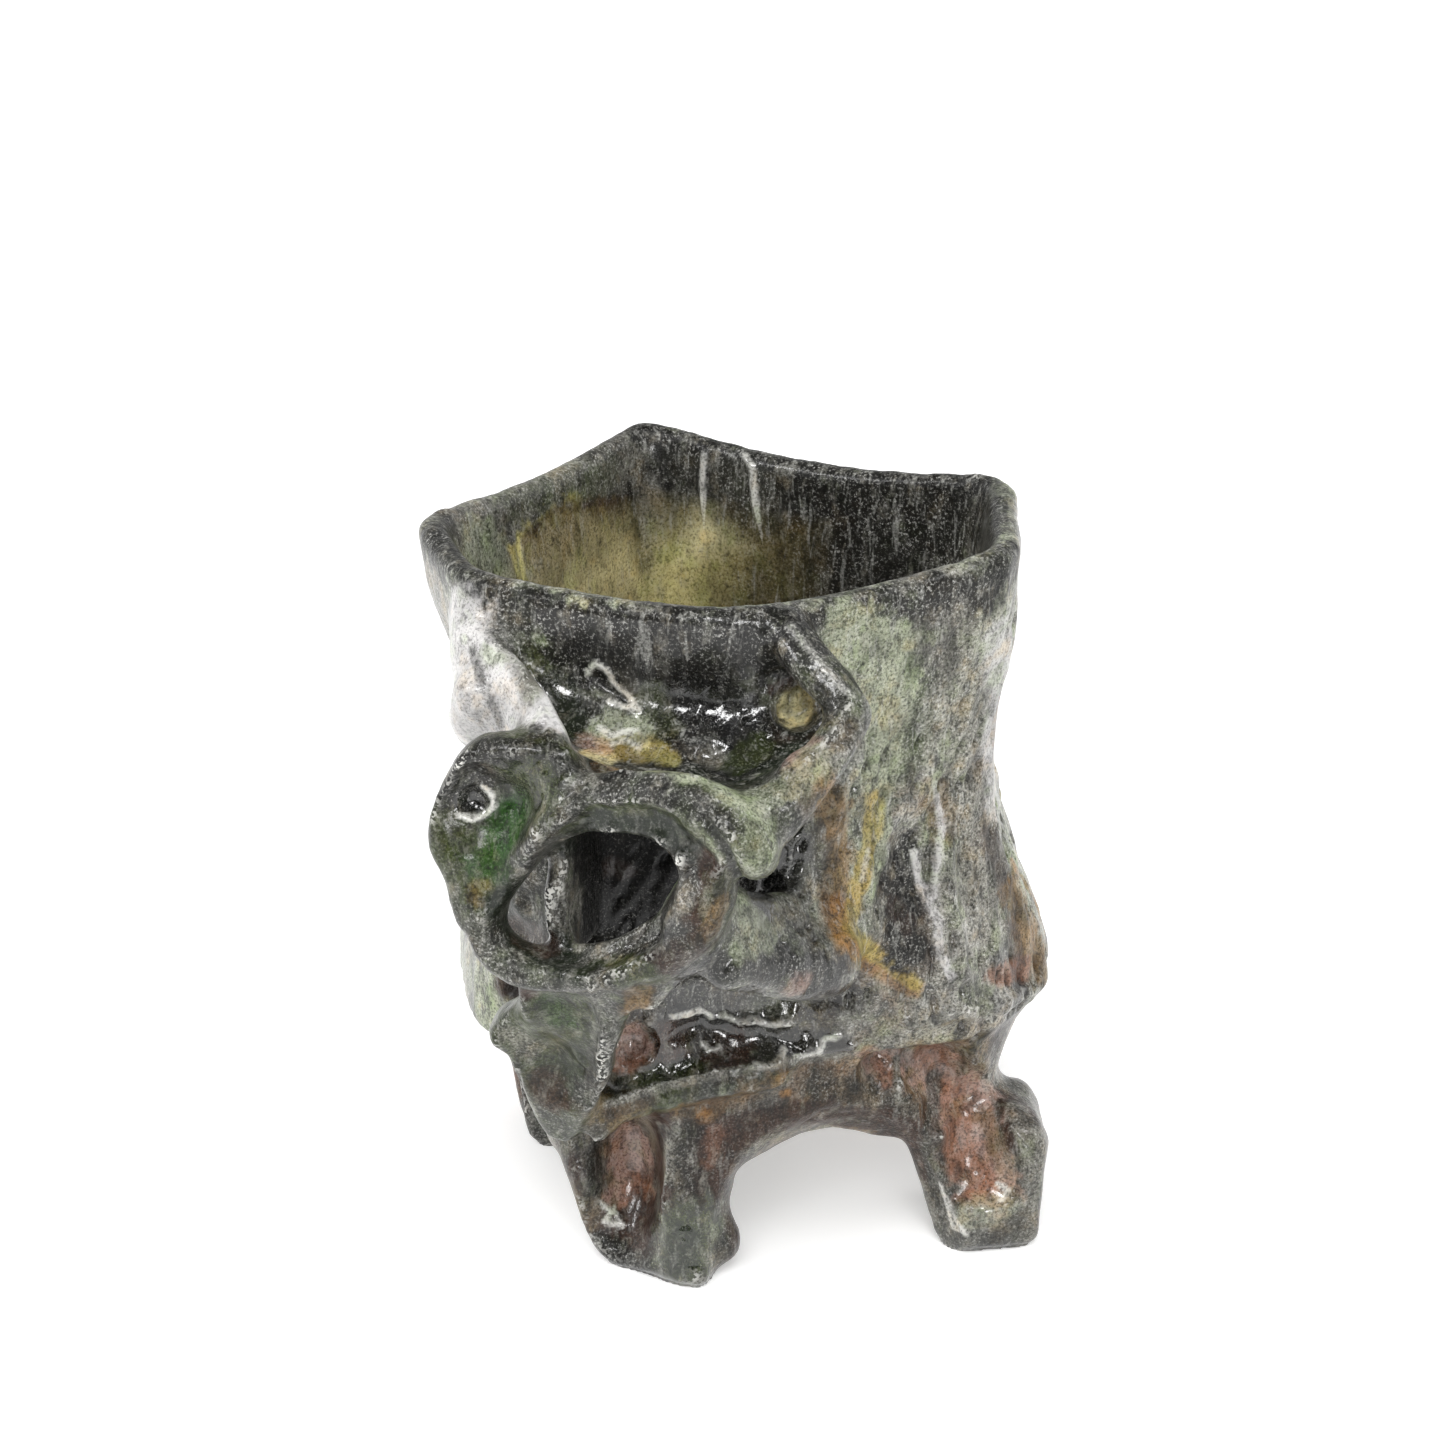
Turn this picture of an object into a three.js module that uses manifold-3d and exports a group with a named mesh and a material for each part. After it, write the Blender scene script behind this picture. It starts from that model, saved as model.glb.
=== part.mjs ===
// A hand-built stoneware mug. A paddled six-sided cup with a flared, sharp-edged belly stands on a
// carved deck with four legs and arches between them. A bone-like handle of pinched members, with a
// finger ring, two dished wings and a thumb rest, is luted to the front left of the cup.
// Millimetres, +Z up. The origin is the centre of the footprint, on the table.
// Directions are degrees round the cup's upright middle line: 0 points to -Y, 90 to +X.
import * as THREE from 'three';
import { mergeVertices } from 'three/addons/utils/BufferGeometryUtils.js';
import Module from 'manifold-3d';

const wasm = await Module();
wasm.setup();

// Heights above the table
const rimHeight = 115;
const waistHeight = 79;
const bellyHeight = 37.5;
const deckUnderside = 18;
const floorTop = 47;

// Clay thicknesses
const rimThickness = 3.8;
const wallThickness = 5;
const floorThickness = 8.5;
const rimRounding = 1.1;
const bowlRadius = 25;

// The line of slip that joins two clay members
const seam = 0.3;

// A member's section has this many sides, with this many sections from one station to the next
const memberSides = 10;
const memberSections = 2;
const scoopSides = 20;

// How far out the flats of each level lie, more or less. The waist is drawn in from the belly, and the
// deck is set back under it.
const bellyRadius = 41;
const waistPinch = 4;
const deckSetback = 7;
const rimRadius = bellyRadius;
const waistRadius = bellyRadius - waistPinch;
const deckRadius = bellyRadius - deckSetback;

// Flats of the cup: [direction, how much further out than the radius of its level]
const cupFlats = [
  { rim: [-125, -5], waist: [-121, -3.5], belly: [-122, -1] },
  { rim: [152.7, -8], waist: [158, -4.5], belly: [170, -2.5] },
  { rim: [87, 3], waist: [90, 4], belly: [98, 10] },
  { rim: [29.8, -3.4], waist: [36, -0.5], belly: [52, 4] },
  { rim: [-18.2, -1.5], waist: [-8, -0.5], belly: [13, -10.5] },
  { rim: [-45, 14], waist: [-42, 8], belly: [-33, -3.5] },
  { rim: [-71.5, 4.2], waist: [-75, 0], belly: [-80, 0] },
];
const cornerSharpness = 22;
const cupSides = 60;
// Rise of the rim for each doubling of its radius, and the swell at which it is level
const cornerLift = 7;
const levelSwell = 0.2;

// The handle stands on a flat that faces this way, this far out from the waist. Its ring hangs this far
// below the rim.
const gripDirection = -19;
const gripStandoff = 19.5;
const gripDrop = 32;
const gripHeight = rimHeight - gripDrop;

// The lowest part of the cup's front is scooped out to a dark shelf. Its middle is this far out, less
// or more as the belly is, and this far above the belly's edge.
const shelfScoop = { direction: 10, out: -1.5, rise: 11.1, wide: 22.5, deep: 12, tall: 11.5 };

// Feet: the middle of each leg as [direction, how much further out than the deck], and its flats at
// the sole and at the deck as [direction, distance from that middle]
const legs = {
  front_left_leg: {
    middle: [-24.4, -9.8],
    flats: [
      { sole: [-30, 8.2], top: [-30, 11] },
      { sole: [14, 13.2], top: [16, 10.2] },
      { sole: [80, 11], top: [78, 11.5] },
      { sole: [165, 7], top: [165, 9.5] },
      { sole: [-95, 9.5], top: [-92, 15.5] },
    ],
  },
  front_right_leg: {
    middle: [73.3, 7.8],
    flats: [
      { sole: [8, 11.6], top: [10, 11.4] },
      { sole: [92, 9.6], top: [92, 10.6] },
      { sole: [175, 8], top: [175, 10] },
      { sole: [-93, 6], top: [-90, 11.5] },
    ],
  },
  back_right_leg: {
    middle: [129.2, 0.8],
    flats: [
      { sole: [20, 7], top: [20, 10] },
      { sole: [105, 9], top: [105, 12] },
      { sole: [185, 9.5], top: [185, 12] },
      { sole: [-75, 7], top: [-75, 11] },
    ],
  },
  back_left_leg: {
    middle: [-120.3, -6.2],
    flats: [
      { sole: [15, 7], top: [15, 10] },
      { sole: [95, 7], top: [95, 11] },
      { sole: [180, 9.5], top: [180, 13] },
      { sole: [-80, 8.5], top: [-80, 11.5] },
    ],
  },
};
const legSharpness = 16;
const legSides = 24;
const soleRounding = 2.2;
// A leg is pinched up over the edge of the deck by this much
const pinchRise = 5;
const pinchInset = 6;

// Flats of the deck at its underside and just under the belly: [direction, how much further out]
const deckFlats = [
  { sole: [15.5, -5.2], top: [15, -11.6] },
  { sole: [-30, 0], top: [-32, -5] },
  { sole: [-85, -5], top: [-80, -1.5] },
  { sole: [-125, -3], top: [-122, -3] },
  { sole: [172, -2], top: [170, -4.5] },
  { sole: [120, 2], top: [118, 5] },
  { sole: [95, 8], top: [97, 8.6] },
  { sole: [52, 7], top: [52, 2.8] },
];
const deckSides = 48;
const deckFlare = 1.4;

// Arches between the legs: the way each one faces, its middle, its half width and crown, the wider
// splay of its outer edge, and how much further out than the deck that edge lies
const arches = [
  { direction: 15.5, offset: 9, halfWidth: 15.4, crown: 20.8, splayWidth: 4, splayRise: 9, face: -4 },
  { direction: 97, offset: 6, halfWidth: 11, crown: 20.5, splayWidth: 3, splayRise: 4, face: 9 },
  { direction: 184, offset: -2, halfWidth: 13.5, crown: 21.5, splayWidth: 3, splayRise: 5, face: 1 },
  { direction: -84, offset: -3, halfWidth: 9.5, crown: 20.5, splayWidth: 2.5, splayRise: 4, face: 4 },
];
const splayDepth = 7;
const vaultReach = 4;
const archFoot = 3;
const archSteps = 9;
const belowTable = 5;

// Thumb-sized scoops carved in the deck and the legs. The centre is [direction, out from the deck, up
// from its underside], then half width, height and depth, the way it faces and its lean, in degrees.
const carvedScoops = [
  { at: [-26.1, 1.1, -1], wide: 5.9, tall: 11.4, deep: 8, direction: -30, lean: 0 },
  { at: [44.8, 0.9, 15], wide: 4.2, tall: 5.4, deep: 4.6, direction: 15, lean: 12 },
  { at: [54.5, 5.6, 14.2], wide: 4.8, tall: 7, deep: 5.4, direction: 22, lean: -12 },
  { at: [57.9, 13, 1], wide: 5.2, tall: 10, deep: 6, direction: 10, lean: 14 },
  { at: [-22, 2.2, 23.4], wide: 4.6, tall: 5, deep: 7, direction: -24, lean: 20 },
  { at: [75.7, 18.6, 9.4], wide: 7, tall: 5.2, deep: 7, direction: 75, lean: 0 },
  { at: [-78.7, 6.8, 6], wide: 7, tall: 8, deep: 6, direction: -78, lean: 0 },
  { at: [-153.4, 6.2, 7], wide: 7, tall: 7, deep: 6, direction: 205, lean: 0 },
  { at: [159.8, 6.5, 9], wide: 6, tall: 6, deep: 5, direction: 160, lean: 0 },
];

// Finger ring: points on its middle line as [across, up, out] on the grip flat, with the half
// width across the band and the half depth through it
const ringBand = [
  { at: [-15.2, -8, 0], half: [2.2, 4.4] },
  { at: [-9.6, 1.2, 0], half: [2.4, 4.4] },
  { at: [-2.6, 8.2, 0], half: [3.6, 4.4] },
  { at: [4.6, 10.6, 0], half: [4.2, 4.4] },
  { at: [11.8, 9.4, -0.6], half: [4.2, 4.4] },
  { at: [17, 3, -1.2], half: [3.8, 4.6] },
  { at: [14.8, -7.2, -1.2], half: [4.2, 4.8] },
  { at: [7.4, -13.6, -0.6], half: [3.8, 4.6] },
  { at: [-1.6, -16.6, 0], half: [2.8, 4.4] },
  { at: [-10.6, -17.4, 0], half: [2.8, 4.2] },
  { at: [-15.4, -14.4, 0], half: [2.4, 4.2] },
];

// The edges of both wings are rounded off by this share of their thickness
const edgeSoftness = 0.13;

// Upper wing: its outline on the grip flat, its thickness and the dish pressed into its face
const upperWing = {
  outline: [
    [-3.5, 16.6], [-9, 18], [-16.7, 16.6], [-20.4, 12], [-23.2, 5], [-23.7, 0.3],
    [-21.4, -4.3], [-19.6, -11.6], [-15.4, -14.4], [-12.6, -7], [-7, 2], [-1.5, 9],
  ],
  out: -3.5,
  thickness: 6.5,
  dish: { at: [-14, 7.6, 6], wide: 7.6, tall: 10.5, deep: 6.4, lean: 38 },
};

// Knuckle lobe at the upper right of the ring
const knuckleLobe = [
  { at: [8, 13, 0.6], half: [2.6, 3] },
  { at: [14.4, 13, 0.8], half: [3.2, 3.6] },
  { at: [20.2, 10, 0.4], half: [3.8, 4.2] },
  { at: [23.6, 5.8, -1], half: [3.6, 4.2] },
  { at: [24, 2.8, -2.4], half: [2, 2.8] },
];

// Side arm, from the ring back to the cup's waist
const sideArm = [
  { at: [13, -6.6, -1], half: [6.4, 3.6] },
  { at: [16.6, -10.6, -8], half: [6, 3.6] },
  { at: [19.4, -15.4, -15], half: [6.2, 3.8] },
  { at: [21.4, -19.4, -24], half: [7.4, 4.2] },
];

// Lower wing: a leaning dished plate with a thorn, from the ring down to the deck. Its top is this
// far below the ring's middle and its bottom this far below the belly's edge.
const lowerWing = {
  outline: [
    [7, -1.5], [2.8, 9.4], [-0.6, 18.2], [-3.9, 28.3], [-6.7, 35], [-10, 40.4], [-13.9, 39.6],
    [-15.6, 31.3], [-16.8, 22], [-19.4, 17], [-15.9, 13.2], [-12.6, 9.4], [-12, 5], [-10, -1.5],
  ],
  top: { drop: 17.5, out: -1.5 },
  bottom: { drop: 9.5, out: -18.4 },
  thickness: 6.5,
  dish: { at: [-12, 19.6, 5.6], wide: 6, tall: 12.6, deep: 5.4, lean: -10 },
};

// Lower sill: the lip of the deck carried across in front of the shelf to the lower wing, at
// [direction, out from the deck, up from the belly's edge]
const lowerSill = [
  { at: [-30.8, 6.3, -7.3], half: [3.4, 3] },
  { at: [-22.6, 2.4, -3.9], half: [2.8, 2.6] },
  { at: [-11.5, -0.9, -2.3], half: [2.6, 2.6] },
  { at: [3.6, -2.5, -0.9], half: [2.6, 2.8] },
  { at: [17, -3.3, -0.1], half: [2.4, 3] },
];

// Members that hang from the rim: [direction, out from the cup's wall, drop below the rim]
const rimStrap = [
  { at: [12.5, -1, 2.4], half: [3, 3.4] },
  { at: [16, 6.4, 6.6], half: [2.8, 3.4] },
  { at: [20.4, 11.4, 11.6], half: [2.8, 3.6] },
  { at: [14.8, 15, 16.8], half: [3, 3.6] },
  { at: [6, 18.8, 23.6], half: [4, 3.4] },
];
const leftFold = [
  { at: [-60, -1.5, 7], half: [1.8, 5] },
  { at: [-52, 1, 10.5], half: [2, 7] },
  { at: [-42, 4.4, 14], half: [2.2, 8] },
  { at: [-31.5, 10.4, 17], half: [2.4, 7.6] },
  { at: [-25.6, 15.4, 19], half: [2.8, 6] },
];

// Thumb rest: a dished sheet between the rim and the ring. At each direction, the dish's floor and
// its outer edge as [out from the wall, drop below the rim]
const thumbRest = [
  { direction: -42, floor: [4.4, 14.5], edge: [6.6, 9.5] },
  { direction: -31, floor: [8, 18.8], edge: [13.6, 14.4] },
  { direction: -19, floor: [11, 20.2], edge: [17.4, 18] },
  { direction: -8, floor: [11.4, 20.4], edge: [18.6, 18.6] },
  { direction: 2, floor: [9.4, 21], edge: [18.4, 19] },
  { direction: 10, floor: [7.4, 20], edge: [16, 18.6] },
  { direction: 16, floor: [5.6, 17], edge: [13.4, 16] },
  { direction: 20, floor: [4, 14.4], edge: [9.6, 13.4] },
];
const restThickness = 4.6;
// Its root runs this far into the cup, and spreads above and below by these shares of its thickness
const restRoot = 4;
const restSpread = { above: 1.6, below: 2.2, fillet: 0.9, lip: 1.1, lean: 0.3 };
// Sections thin down to a slant at the edge, so a joint there takes a little more than the seam
const slantAllowance = 1.5;
const thumbHole = { direction: 13.5, out: 5.4, drop: 13.6, radius: 3.1, length: 14, heading: 62, dive: 24 };

// Rear brace: an upright fin behind the ring, this far below and above the ring's middle
const rearBrace = { across: -6.6, thickness: 2.4, out: -2.4, below: 19, above: 9, root: 6 };

// Clay and glaze colours of the members
const finishes = {
  darkGlaze: { color: 0x4b4d48, roughness: 0.42 },
  olivePool: { color: 0x7d7a45, roughness: 0.3 },
  boneGrey: { color: 0x6f726a, roughness: 0.5 },
  copperGreen: { color: 0x4f6147, roughness: 0.35 },
  rustFlash: { color: 0x6d5648, roughness: 0.4 },
};

const degrees = Math.PI / 180;

// Points and directions

function around(direction, radius, height) {
  const angle = direction * degrees;
  return new THREE.Vector3(radius * Math.sin(angle), -radius * Math.cos(angle), height);
}

function mix(a, b, share) {
  return a + (b - a) * share;
}

function ease(share) {
  return (1 - Math.cos(Math.PI * THREE.MathUtils.clamp(share, 0, 1))) / 2;
}

// Radius of a rounded polygon, given its flats, in one direction
function polygonRadius(flats, direction, sharpness) {
  let sum = 0;
  for (const [facing, distance] of flats) {
    const reach = Math.cos((direction - facing) * degrees);
    if (reach > 0) sum += Math.pow(reach / distance, sharpness);
  }
  return Math.pow(sum, -1 / sharpness);
}

// Flats part way from a low level to a high one. Each level has its name and its radius.
function flatsBetween(table, low, high, share) {
  return table.map((flat) => [
    mix(flat[low.name][0], flat[high.name][0], share),
    mix(low.radius + flat[low.name][1], high.radius + flat[high.name][1], share),
  ]);
}

const levels = {
  rim: { name: 'rim', radius: rimRadius },
  waist: { name: 'waist', radius: waistRadius },
  belly: { name: 'belly', radius: bellyRadius },
};

function cupRadius(direction, height) {
  const upper = height > waistHeight;
  const share = upper
    ? ease((height - waistHeight) / (rimHeight - waistHeight))
    : ease((height - bellyHeight) / (waistHeight - bellyHeight));
  const flats = upper
    ? flatsBetween(cupFlats, levels.waist, levels.rim, share)
    : flatsBetween(cupFlats, levels.belly, levels.waist, share);
  return polygonRadius(flats, direction, cornerSharpness);
}

// The rim stands higher at the corners of the cup than at the middle of its flats
function rimAt(direction) {
  const nearest = rimRadius + Math.min(...cupFlats.map((flat) => flat.rim[1]));
  const swell = cupRadius(direction, rimHeight) / nearest - 1;
  return rimHeight + cornerLift * (swell - levelSwell);
}

// A point measured from the cup's wall and down from its rim
function fromRim([direction, out, drop]) {
  const height = rimHeight - drop;
  return around(direction, cupRadius(direction, height) + out, height);
}

const gripRadius = cupRadius(gripDirection, waistHeight) + gripStandoff;
const gripAcross = new THREE.Vector3(Math.cos(gripDirection * degrees), Math.sin(gripDirection * degrees), 0);
const gripOut = around(gripDirection, 1, 0);

// A point on the grip flat: across to the right, up from the ring's middle, out from the flat
function onGrip([across, up, out]) {
  const point = gripOut.clone().multiplyScalar(gripRadius + out);
  point.addScaledVector(gripAcross, across);
  point.z = gripHeight + up;
  return point;
}

// Solids

function toSolid(geometry) {
  const bare = geometry.clone();
  bare.deleteAttribute('normal');
  bare.deleteAttribute('uv');
  const merged = mergeVertices(bare, 1e-5);
  const mesh = new wasm.Mesh({
    numProp: 3,
    vertProperties: new Float32Array(merged.attributes.position.array),
    triVerts: new Uint32Array(merged.index.array),
  });
  return new wasm.Manifold(mesh);
}

// A skin over rings of points. A loop joins its last ring to its first, and others get flat ends.
function loft(rings, isLoop = false) {
  const sides = rings[0].length;
  const points = rings.flat();
  const faces = [];
  const bands = isLoop ? rings.length : rings.length - 1;
  for (let band = 0; band < bands; band += 1) {
    const low = band * sides;
    const high = ((band + 1) % rings.length) * sides;
    for (let side = 0; side < sides; side += 1) {
      const next = (side + 1) % sides;
      const rising = points[low + side].distanceTo(points[high + next]);
      const falling = points[low + next].distanceTo(points[high + side]);
      if (rising <= falling) {
        faces.push(low + side, low + next, high + next, low + side, high + next, high + side);
      } else {
        faces.push(low + side, low + next, high + side, low + next, high + next, high + side);
      }
    }
  }
  if (!isLoop) {
    const first = points.push(middleOf(rings[0])) - 1;
    const last = points.push(middleOf(rings[rings.length - 1])) - 1;
    const top = (rings.length - 1) * sides;
    for (let side = 0; side < sides; side += 1) {
      const next = (side + 1) % sides;
      faces.push(first, next, side);
      faces.push(last, top + side, top + next);
    }
  }
  const geometry = new THREE.BufferGeometry().setFromPoints(points);
  geometry.setIndex(faces);
  return toSolid(geometry);
}

function middleOf(ring) {
  const middle = new THREE.Vector3();
  for (const point of ring) middle.add(point);
  return middle.divideScalar(ring.length);
}

// A member of oval section along a smooth line. Its width lies square to the facing direction and
// its depth along it. Growing it by the seam makes room for a neighbour.
function member(stations, places, facing, grow, isLoop = false) {
  const line = new THREE.CatmullRomCurve3(places, isLoop);
  const halves = new THREE.CatmullRomCurve3(
    stations.map(({ half }) => new THREE.Vector3(half[0], half[1], 0)),
    isLoop,
  );
  const steps = (isLoop ? stations.length : stations.length - 1) * memberSections;
  const count = isLoop ? steps : steps + 1;
  const rings = [];
  for (let step = 0; step < count; step += 1) {
    const share = step / steps;
    const along = line.getTangent(share);
    const across = new THREE.Vector3().crossVectors(along, facing).normalize();
    const deep = new THREE.Vector3().crossVectors(across, along).normalize();
    const half = halves.getPoint(share);
    const centre = line.getPoint(share);
    if (!isLoop && step === 0) centre.addScaledVector(along, -grow);
    if (!isLoop && step === steps) centre.addScaledVector(along, grow);
    const ring = [];
    for (let side = 0; side < memberSides; side += 1) {
      const turn = (side / memberSides) * 2 * Math.PI;
      const point = centre.clone();
      point.addScaledVector(across, Math.cos(turn) * (half.x + grow));
      point.addScaledVector(deep, -Math.sin(turn) * (half.y + grow));
      ring.push(point);
    }
    rings.push(ring);
  }
  return loft(rings, isLoop);
}

// An oval scoop, used to carve. It faces a direction and leans in its own face.
function scoop({ at, wide, tall, deep, direction, lean }) {
  const ball = new THREE.SphereGeometry(1, scoopSides, scoopSides * 0.6);
  ball.scale(wide, deep, tall);
  ball.rotateY(lean * degrees);
  ball.rotateZ(direction * degrees);
  ball.translate(...at);
  return toSolid(ball);
}

// The cup

function cupRing(height, inset) {
  const ring = [];
  for (let side = 0; side < cupSides; side += 1) {
    const direction = (side / cupSides) * 360;
    const lift = height >= rimHeight - rimRounding - 0.01 ? rimAt(direction) - rimHeight : 0;
    ring.push(around(direction, cupRadius(direction, height) - inset, height + lift));
  }
  return ring;
}

// The bowl inside is round at the bottom and takes the shape of the flats further up
function bowlRing(height, grow) {
  const straight = ease((height - floorTop + floorThickness) / (waistHeight - floorTop + floorThickness));
  const ring = [];
  for (let side = 0; side < cupSides; side += 1) {
    const direction = (side / cupSides) * 360;
    const follow = cupRadius(direction, height) - wallThickness;
    ring.push(around(direction, Math.min(mix(bowlRadius, follow, straight), follow) + grow, height));
  }
  return ring;
}

function spread(low, high, count) {
  return Array.from({ length: count }, (_, index) => mix(low, high, index / (count - 1)));
}

const cupBase = bellyHeight + seam;
const rimShoulder = rimHeight - rimRounding;

function cupOuterRings(grow) {
  const lower = spread(cupBase - grow, waistHeight, 8);
  const upper = spread(waistHeight, rimShoulder, 6).slice(1);
  return [...lower, ...upper].map((height) => cupRing(height, -grow));
}

function cupBody(grow) {
  const top = cupRing(rimHeight, rimRounding - grow).map((point) => point.setZ(point.z + grow));
  return loft([...cupOuterRings(grow), top]);
}

function shelf(grow = 0) {
  const { direction, out, rise, wide, deep, tall } = shelfScoop;
  const at = around(direction, bellyRadius + out, bellyHeight + rise).toArray();
  return scoop({ at, wide: wide + grow, tall: tall + grow, deep: deep + grow, direction, lean: 0 });
}

function cupWall() {
  const rim = [cupRing(rimHeight, rimRounding), cupRing(rimHeight, rimThickness - rimRounding)];
  const mouth = cupRing(rimShoulder, rimThickness);
  const bowl = spread(cupBase, waistHeight, 6).map((height) => bowlRing(height, 0)).reverse();
  const solid = loft([...cupOuterRings(0), ...rim, mouth, ...bowl], true);
  return solid.subtract(shelf());
}

function cupFloor() {
  return loft([cupBase, floorTop].map((height) => bowlRing(height, -seam)));
}

// The deck and the legs

// A level ring of a leg or of the deck, with its flats a share of the way from the sole to the top
function footRing({ table, middle, soleRadius, topRadius, sides }, share, height, inset) {
  const sole = { name: 'sole', radius: soleRadius };
  const top = { name: 'top', radius: topRadius };
  const flats = flatsBetween(table, sole, top, share);
  const ring = [];
  for (let side = 0; side < sides; side += 1) {
    const direction = (side / sides) * 360;
    ring.push(around(direction, polygonRadius(flats, direction, legSharpness) - inset, height).add(middle));
  }
  return ring;
}

// The opening of an arch: upright sides and a round crown, square to the way the arch faces
function archRing(arch, halfWidth, crown, out) {
  const faceOut = around(arch.direction, 1, 0);
  const along = around(arch.direction + 90, 1, 0);
  const spring = crown - Math.min(halfWidth, crown - archFoot);
  const corners = [[-halfWidth, -belowTable]];
  for (let step = 0; step <= archSteps; step += 1) {
    const turn = Math.PI * (1 - step / archSteps);
    corners.push([halfWidth * Math.cos(turn), spring + (crown - spring) * Math.sin(turn)]);
  }
  corners.push([halfWidth, -belowTable]);
  return corners.map(([side, height]) => {
    const point = faceOut.clone().multiplyScalar(out);
    point.addScaledVector(along, arch.offset + side);
    return point.setZ(height);
  });
}

function archCutter(arch) {
  const { halfWidth, crown, splayWidth, splayRise } = arch;
  const face = deckRadius + arch.face;
  return loft([
    archRing(arch, halfWidth + splayWidth * 2, crown + splayRise * 2, face + splayDepth),
    archRing(arch, halfWidth + splayWidth, crown + splayRise, face),
    archRing(arch, halfWidth, crown, face - splayDepth),
    archRing(arch, halfWidth, crown, vaultReach),
  ]);
}

function cutArches(solid) {
  return arches.reduce((rest, arch) => rest.subtract(archCutter(arch)), solid);
}

function deckBlock(grow) {
  const middle = new THREE.Vector3();
  const outline = { table: deckFlats, middle, soleRadius: deckRadius, topRadius: bellyRadius, sides: deckSides };
  return loft(spread(deckUnderside - grow, bellyHeight + grow, 5).map((height) => {
    const rise = THREE.MathUtils.clamp((height - deckUnderside) / (bellyHeight - deckUnderside), 0, 1);
    return footRing(outline, Math.pow(rise, deckFlare), height, -grow);
  }));
}

// The carving that runs across the deck and the legs
function carveFoot(solid) {
  const cuts = carvedScoops.map((cut) => {
    const [direction, out, up] = cut.at;
    return { ...cut, at: around(direction, deckRadius + out, deckUnderside + up).toArray() };
  });
  return cuts.reduce((rest, cut) => rest.subtract(scoop(cut)), cutArches(solid));
}

function footDeck() {
  return carveFoot(deckBlock(0));
}

function legBlock({ middle, flats }) {
  const top = deckUnderside - seam;
  const place = around(middle[0], deckRadius + middle[1], 0);
  const outline = { table: flats, middle: place, soleRadius: 0, topRadius: 0, sides: legSides };
  const stages = [
    [0, 0, soleRounding], [0, soleRounding * 0.8, 0], [0.35, top * 0.4, 0], [0.7, top * 0.75, 0],
    [1, top, 0], [1, top + pinchRise * 0.6, pinchInset * 0.3], [1, top + pinchRise, pinchInset],
  ];
  return loft(stages.map(([share, height, inset]) => footRing(outline, share, height, inset)));
}

function leg(shape) {
  return carveFoot(legBlock(shape).subtract(deckBlock(seam)));
}

// The handle

const upright = new THREE.Vector3(0, 0, 1);

function fingerRing(grow) {
  return member(ringBand, ringBand.map(({ at }) => onGrip(at)), gripOut, grow, true);
}

function knuckle(grow) {
  return member(knuckleLobe, knuckleLobe.map(({ at }) => onGrip(at)), gripOut, grow);
}

function arm(grow) {
  return member(sideArm, sideArm.map(({ at }) => onGrip(at)), gripAcross, grow);
}

function strap(grow) {
  return member(rimStrap, rimStrap.map(({ at }) => fromRim(at)), gripOut, grow);
}

function fold(grow) {
  return member(leftFold, leftFold.map(({ at }) => fromRim(at)), upright, grow);
}

function sill(grow) {
  const places = lowerSill.map(({ at: [direction, out, up] }) =>
    around(direction, deckRadius + out, bellyHeight + up));
  return member(lowerSill, places, gripOut, grow);
}

// The outline moved outwards by a distance, each corner along the line that halves it
function offsetOutline(points, distance) {
  const count = points.length;
  return points.map(([x, y], index) => {
    const before = points[(index + count - 1) % count];
    const after = points[(index + 1) % count];
    const along = new THREE.Vector2(after[0] - before[0], after[1] - before[1]).normalize();
    return [x + along.y * distance, y - along.x * distance];
  });
}

// A plate cut to an outline, with softened edges, its face towards +Z before it is placed
function plate(outline, thickness, grow) {
  const soft = thickness * edgeSoftness;
  const layers = [
    [-thickness / 2 - grow, -soft], [-thickness / 4, 0], [thickness / 4, 0], [thickness / 2 + grow, -soft],
  ];
  const rings = layers.map(([height, inset]) =>
    offsetOutline(outline, inset + grow).map(([x, y]) => new THREE.Vector3(x, y, height)));
  const sides = outline.length;
  const faces = [];
  for (let band = 0; band < rings.length - 1; band += 1) {
    for (let side = 0; side < sides; side += 1) {
      const low = band * sides + side;
      const next = band * sides + (side + 1) % sides;
      faces.push(low, next, next + sides, low, next + sides, low + sides);
    }
  }
  const flat = offsetOutline(outline, grow - soft).map(([x, y]) => new THREE.Vector2(x, y));
  const lid = (rings.length - 1) * sides;
  for (const [a, b, c] of THREE.ShapeUtils.triangulateShape(flat, [])) {
    faces.push(c, b, a, lid + a, lid + b, lid + c);
  }
  const geometry = new THREE.BufferGeometry().setFromPoints(rings.flat());
  geometry.setIndex(faces);
  return geometry;
}

function smoothOutline(points, perSide) {
  const curve = new THREE.CatmullRomCurve3(points.map(([x, y]) => new THREE.Vector3(x, y, 0)), true);
  const count = points.length * perSide;
  return Array.from({ length: count }, (_, index) => {
    const point = curve.getPoint(index / count);
    return [point.x, point.y];
  });
}

function dishIn({ at, wide, tall, deep, lean }) {
  const ball = new THREE.SphereGeometry(1, scoopSides, scoopSides * 0.6);
  ball.scale(wide, tall, deep);
  ball.rotateZ(-lean * degrees);
  ball.translate(...at);
  return ball;
}

function placed(geometry, across, up, out, origin) {
  const frame = new THREE.Matrix4().makeBasis(across, up, out).setPosition(origin);
  return toSolid(geometry.applyMatrix4(frame));
}

function wing(grow) {
  const { outline, out, thickness, dish } = upperWing;
  const origin = onGrip([0, 0, out + thickness / 2]);
  const body = placed(plate(smoothOutline(outline, 2), thickness, grow), gripAcross, upright, gripOut, origin);
  if (grow > 0) return body;
  return body.subtract(placed(dishIn(dish), gripAcross, upright, gripOut, origin));
}

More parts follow.
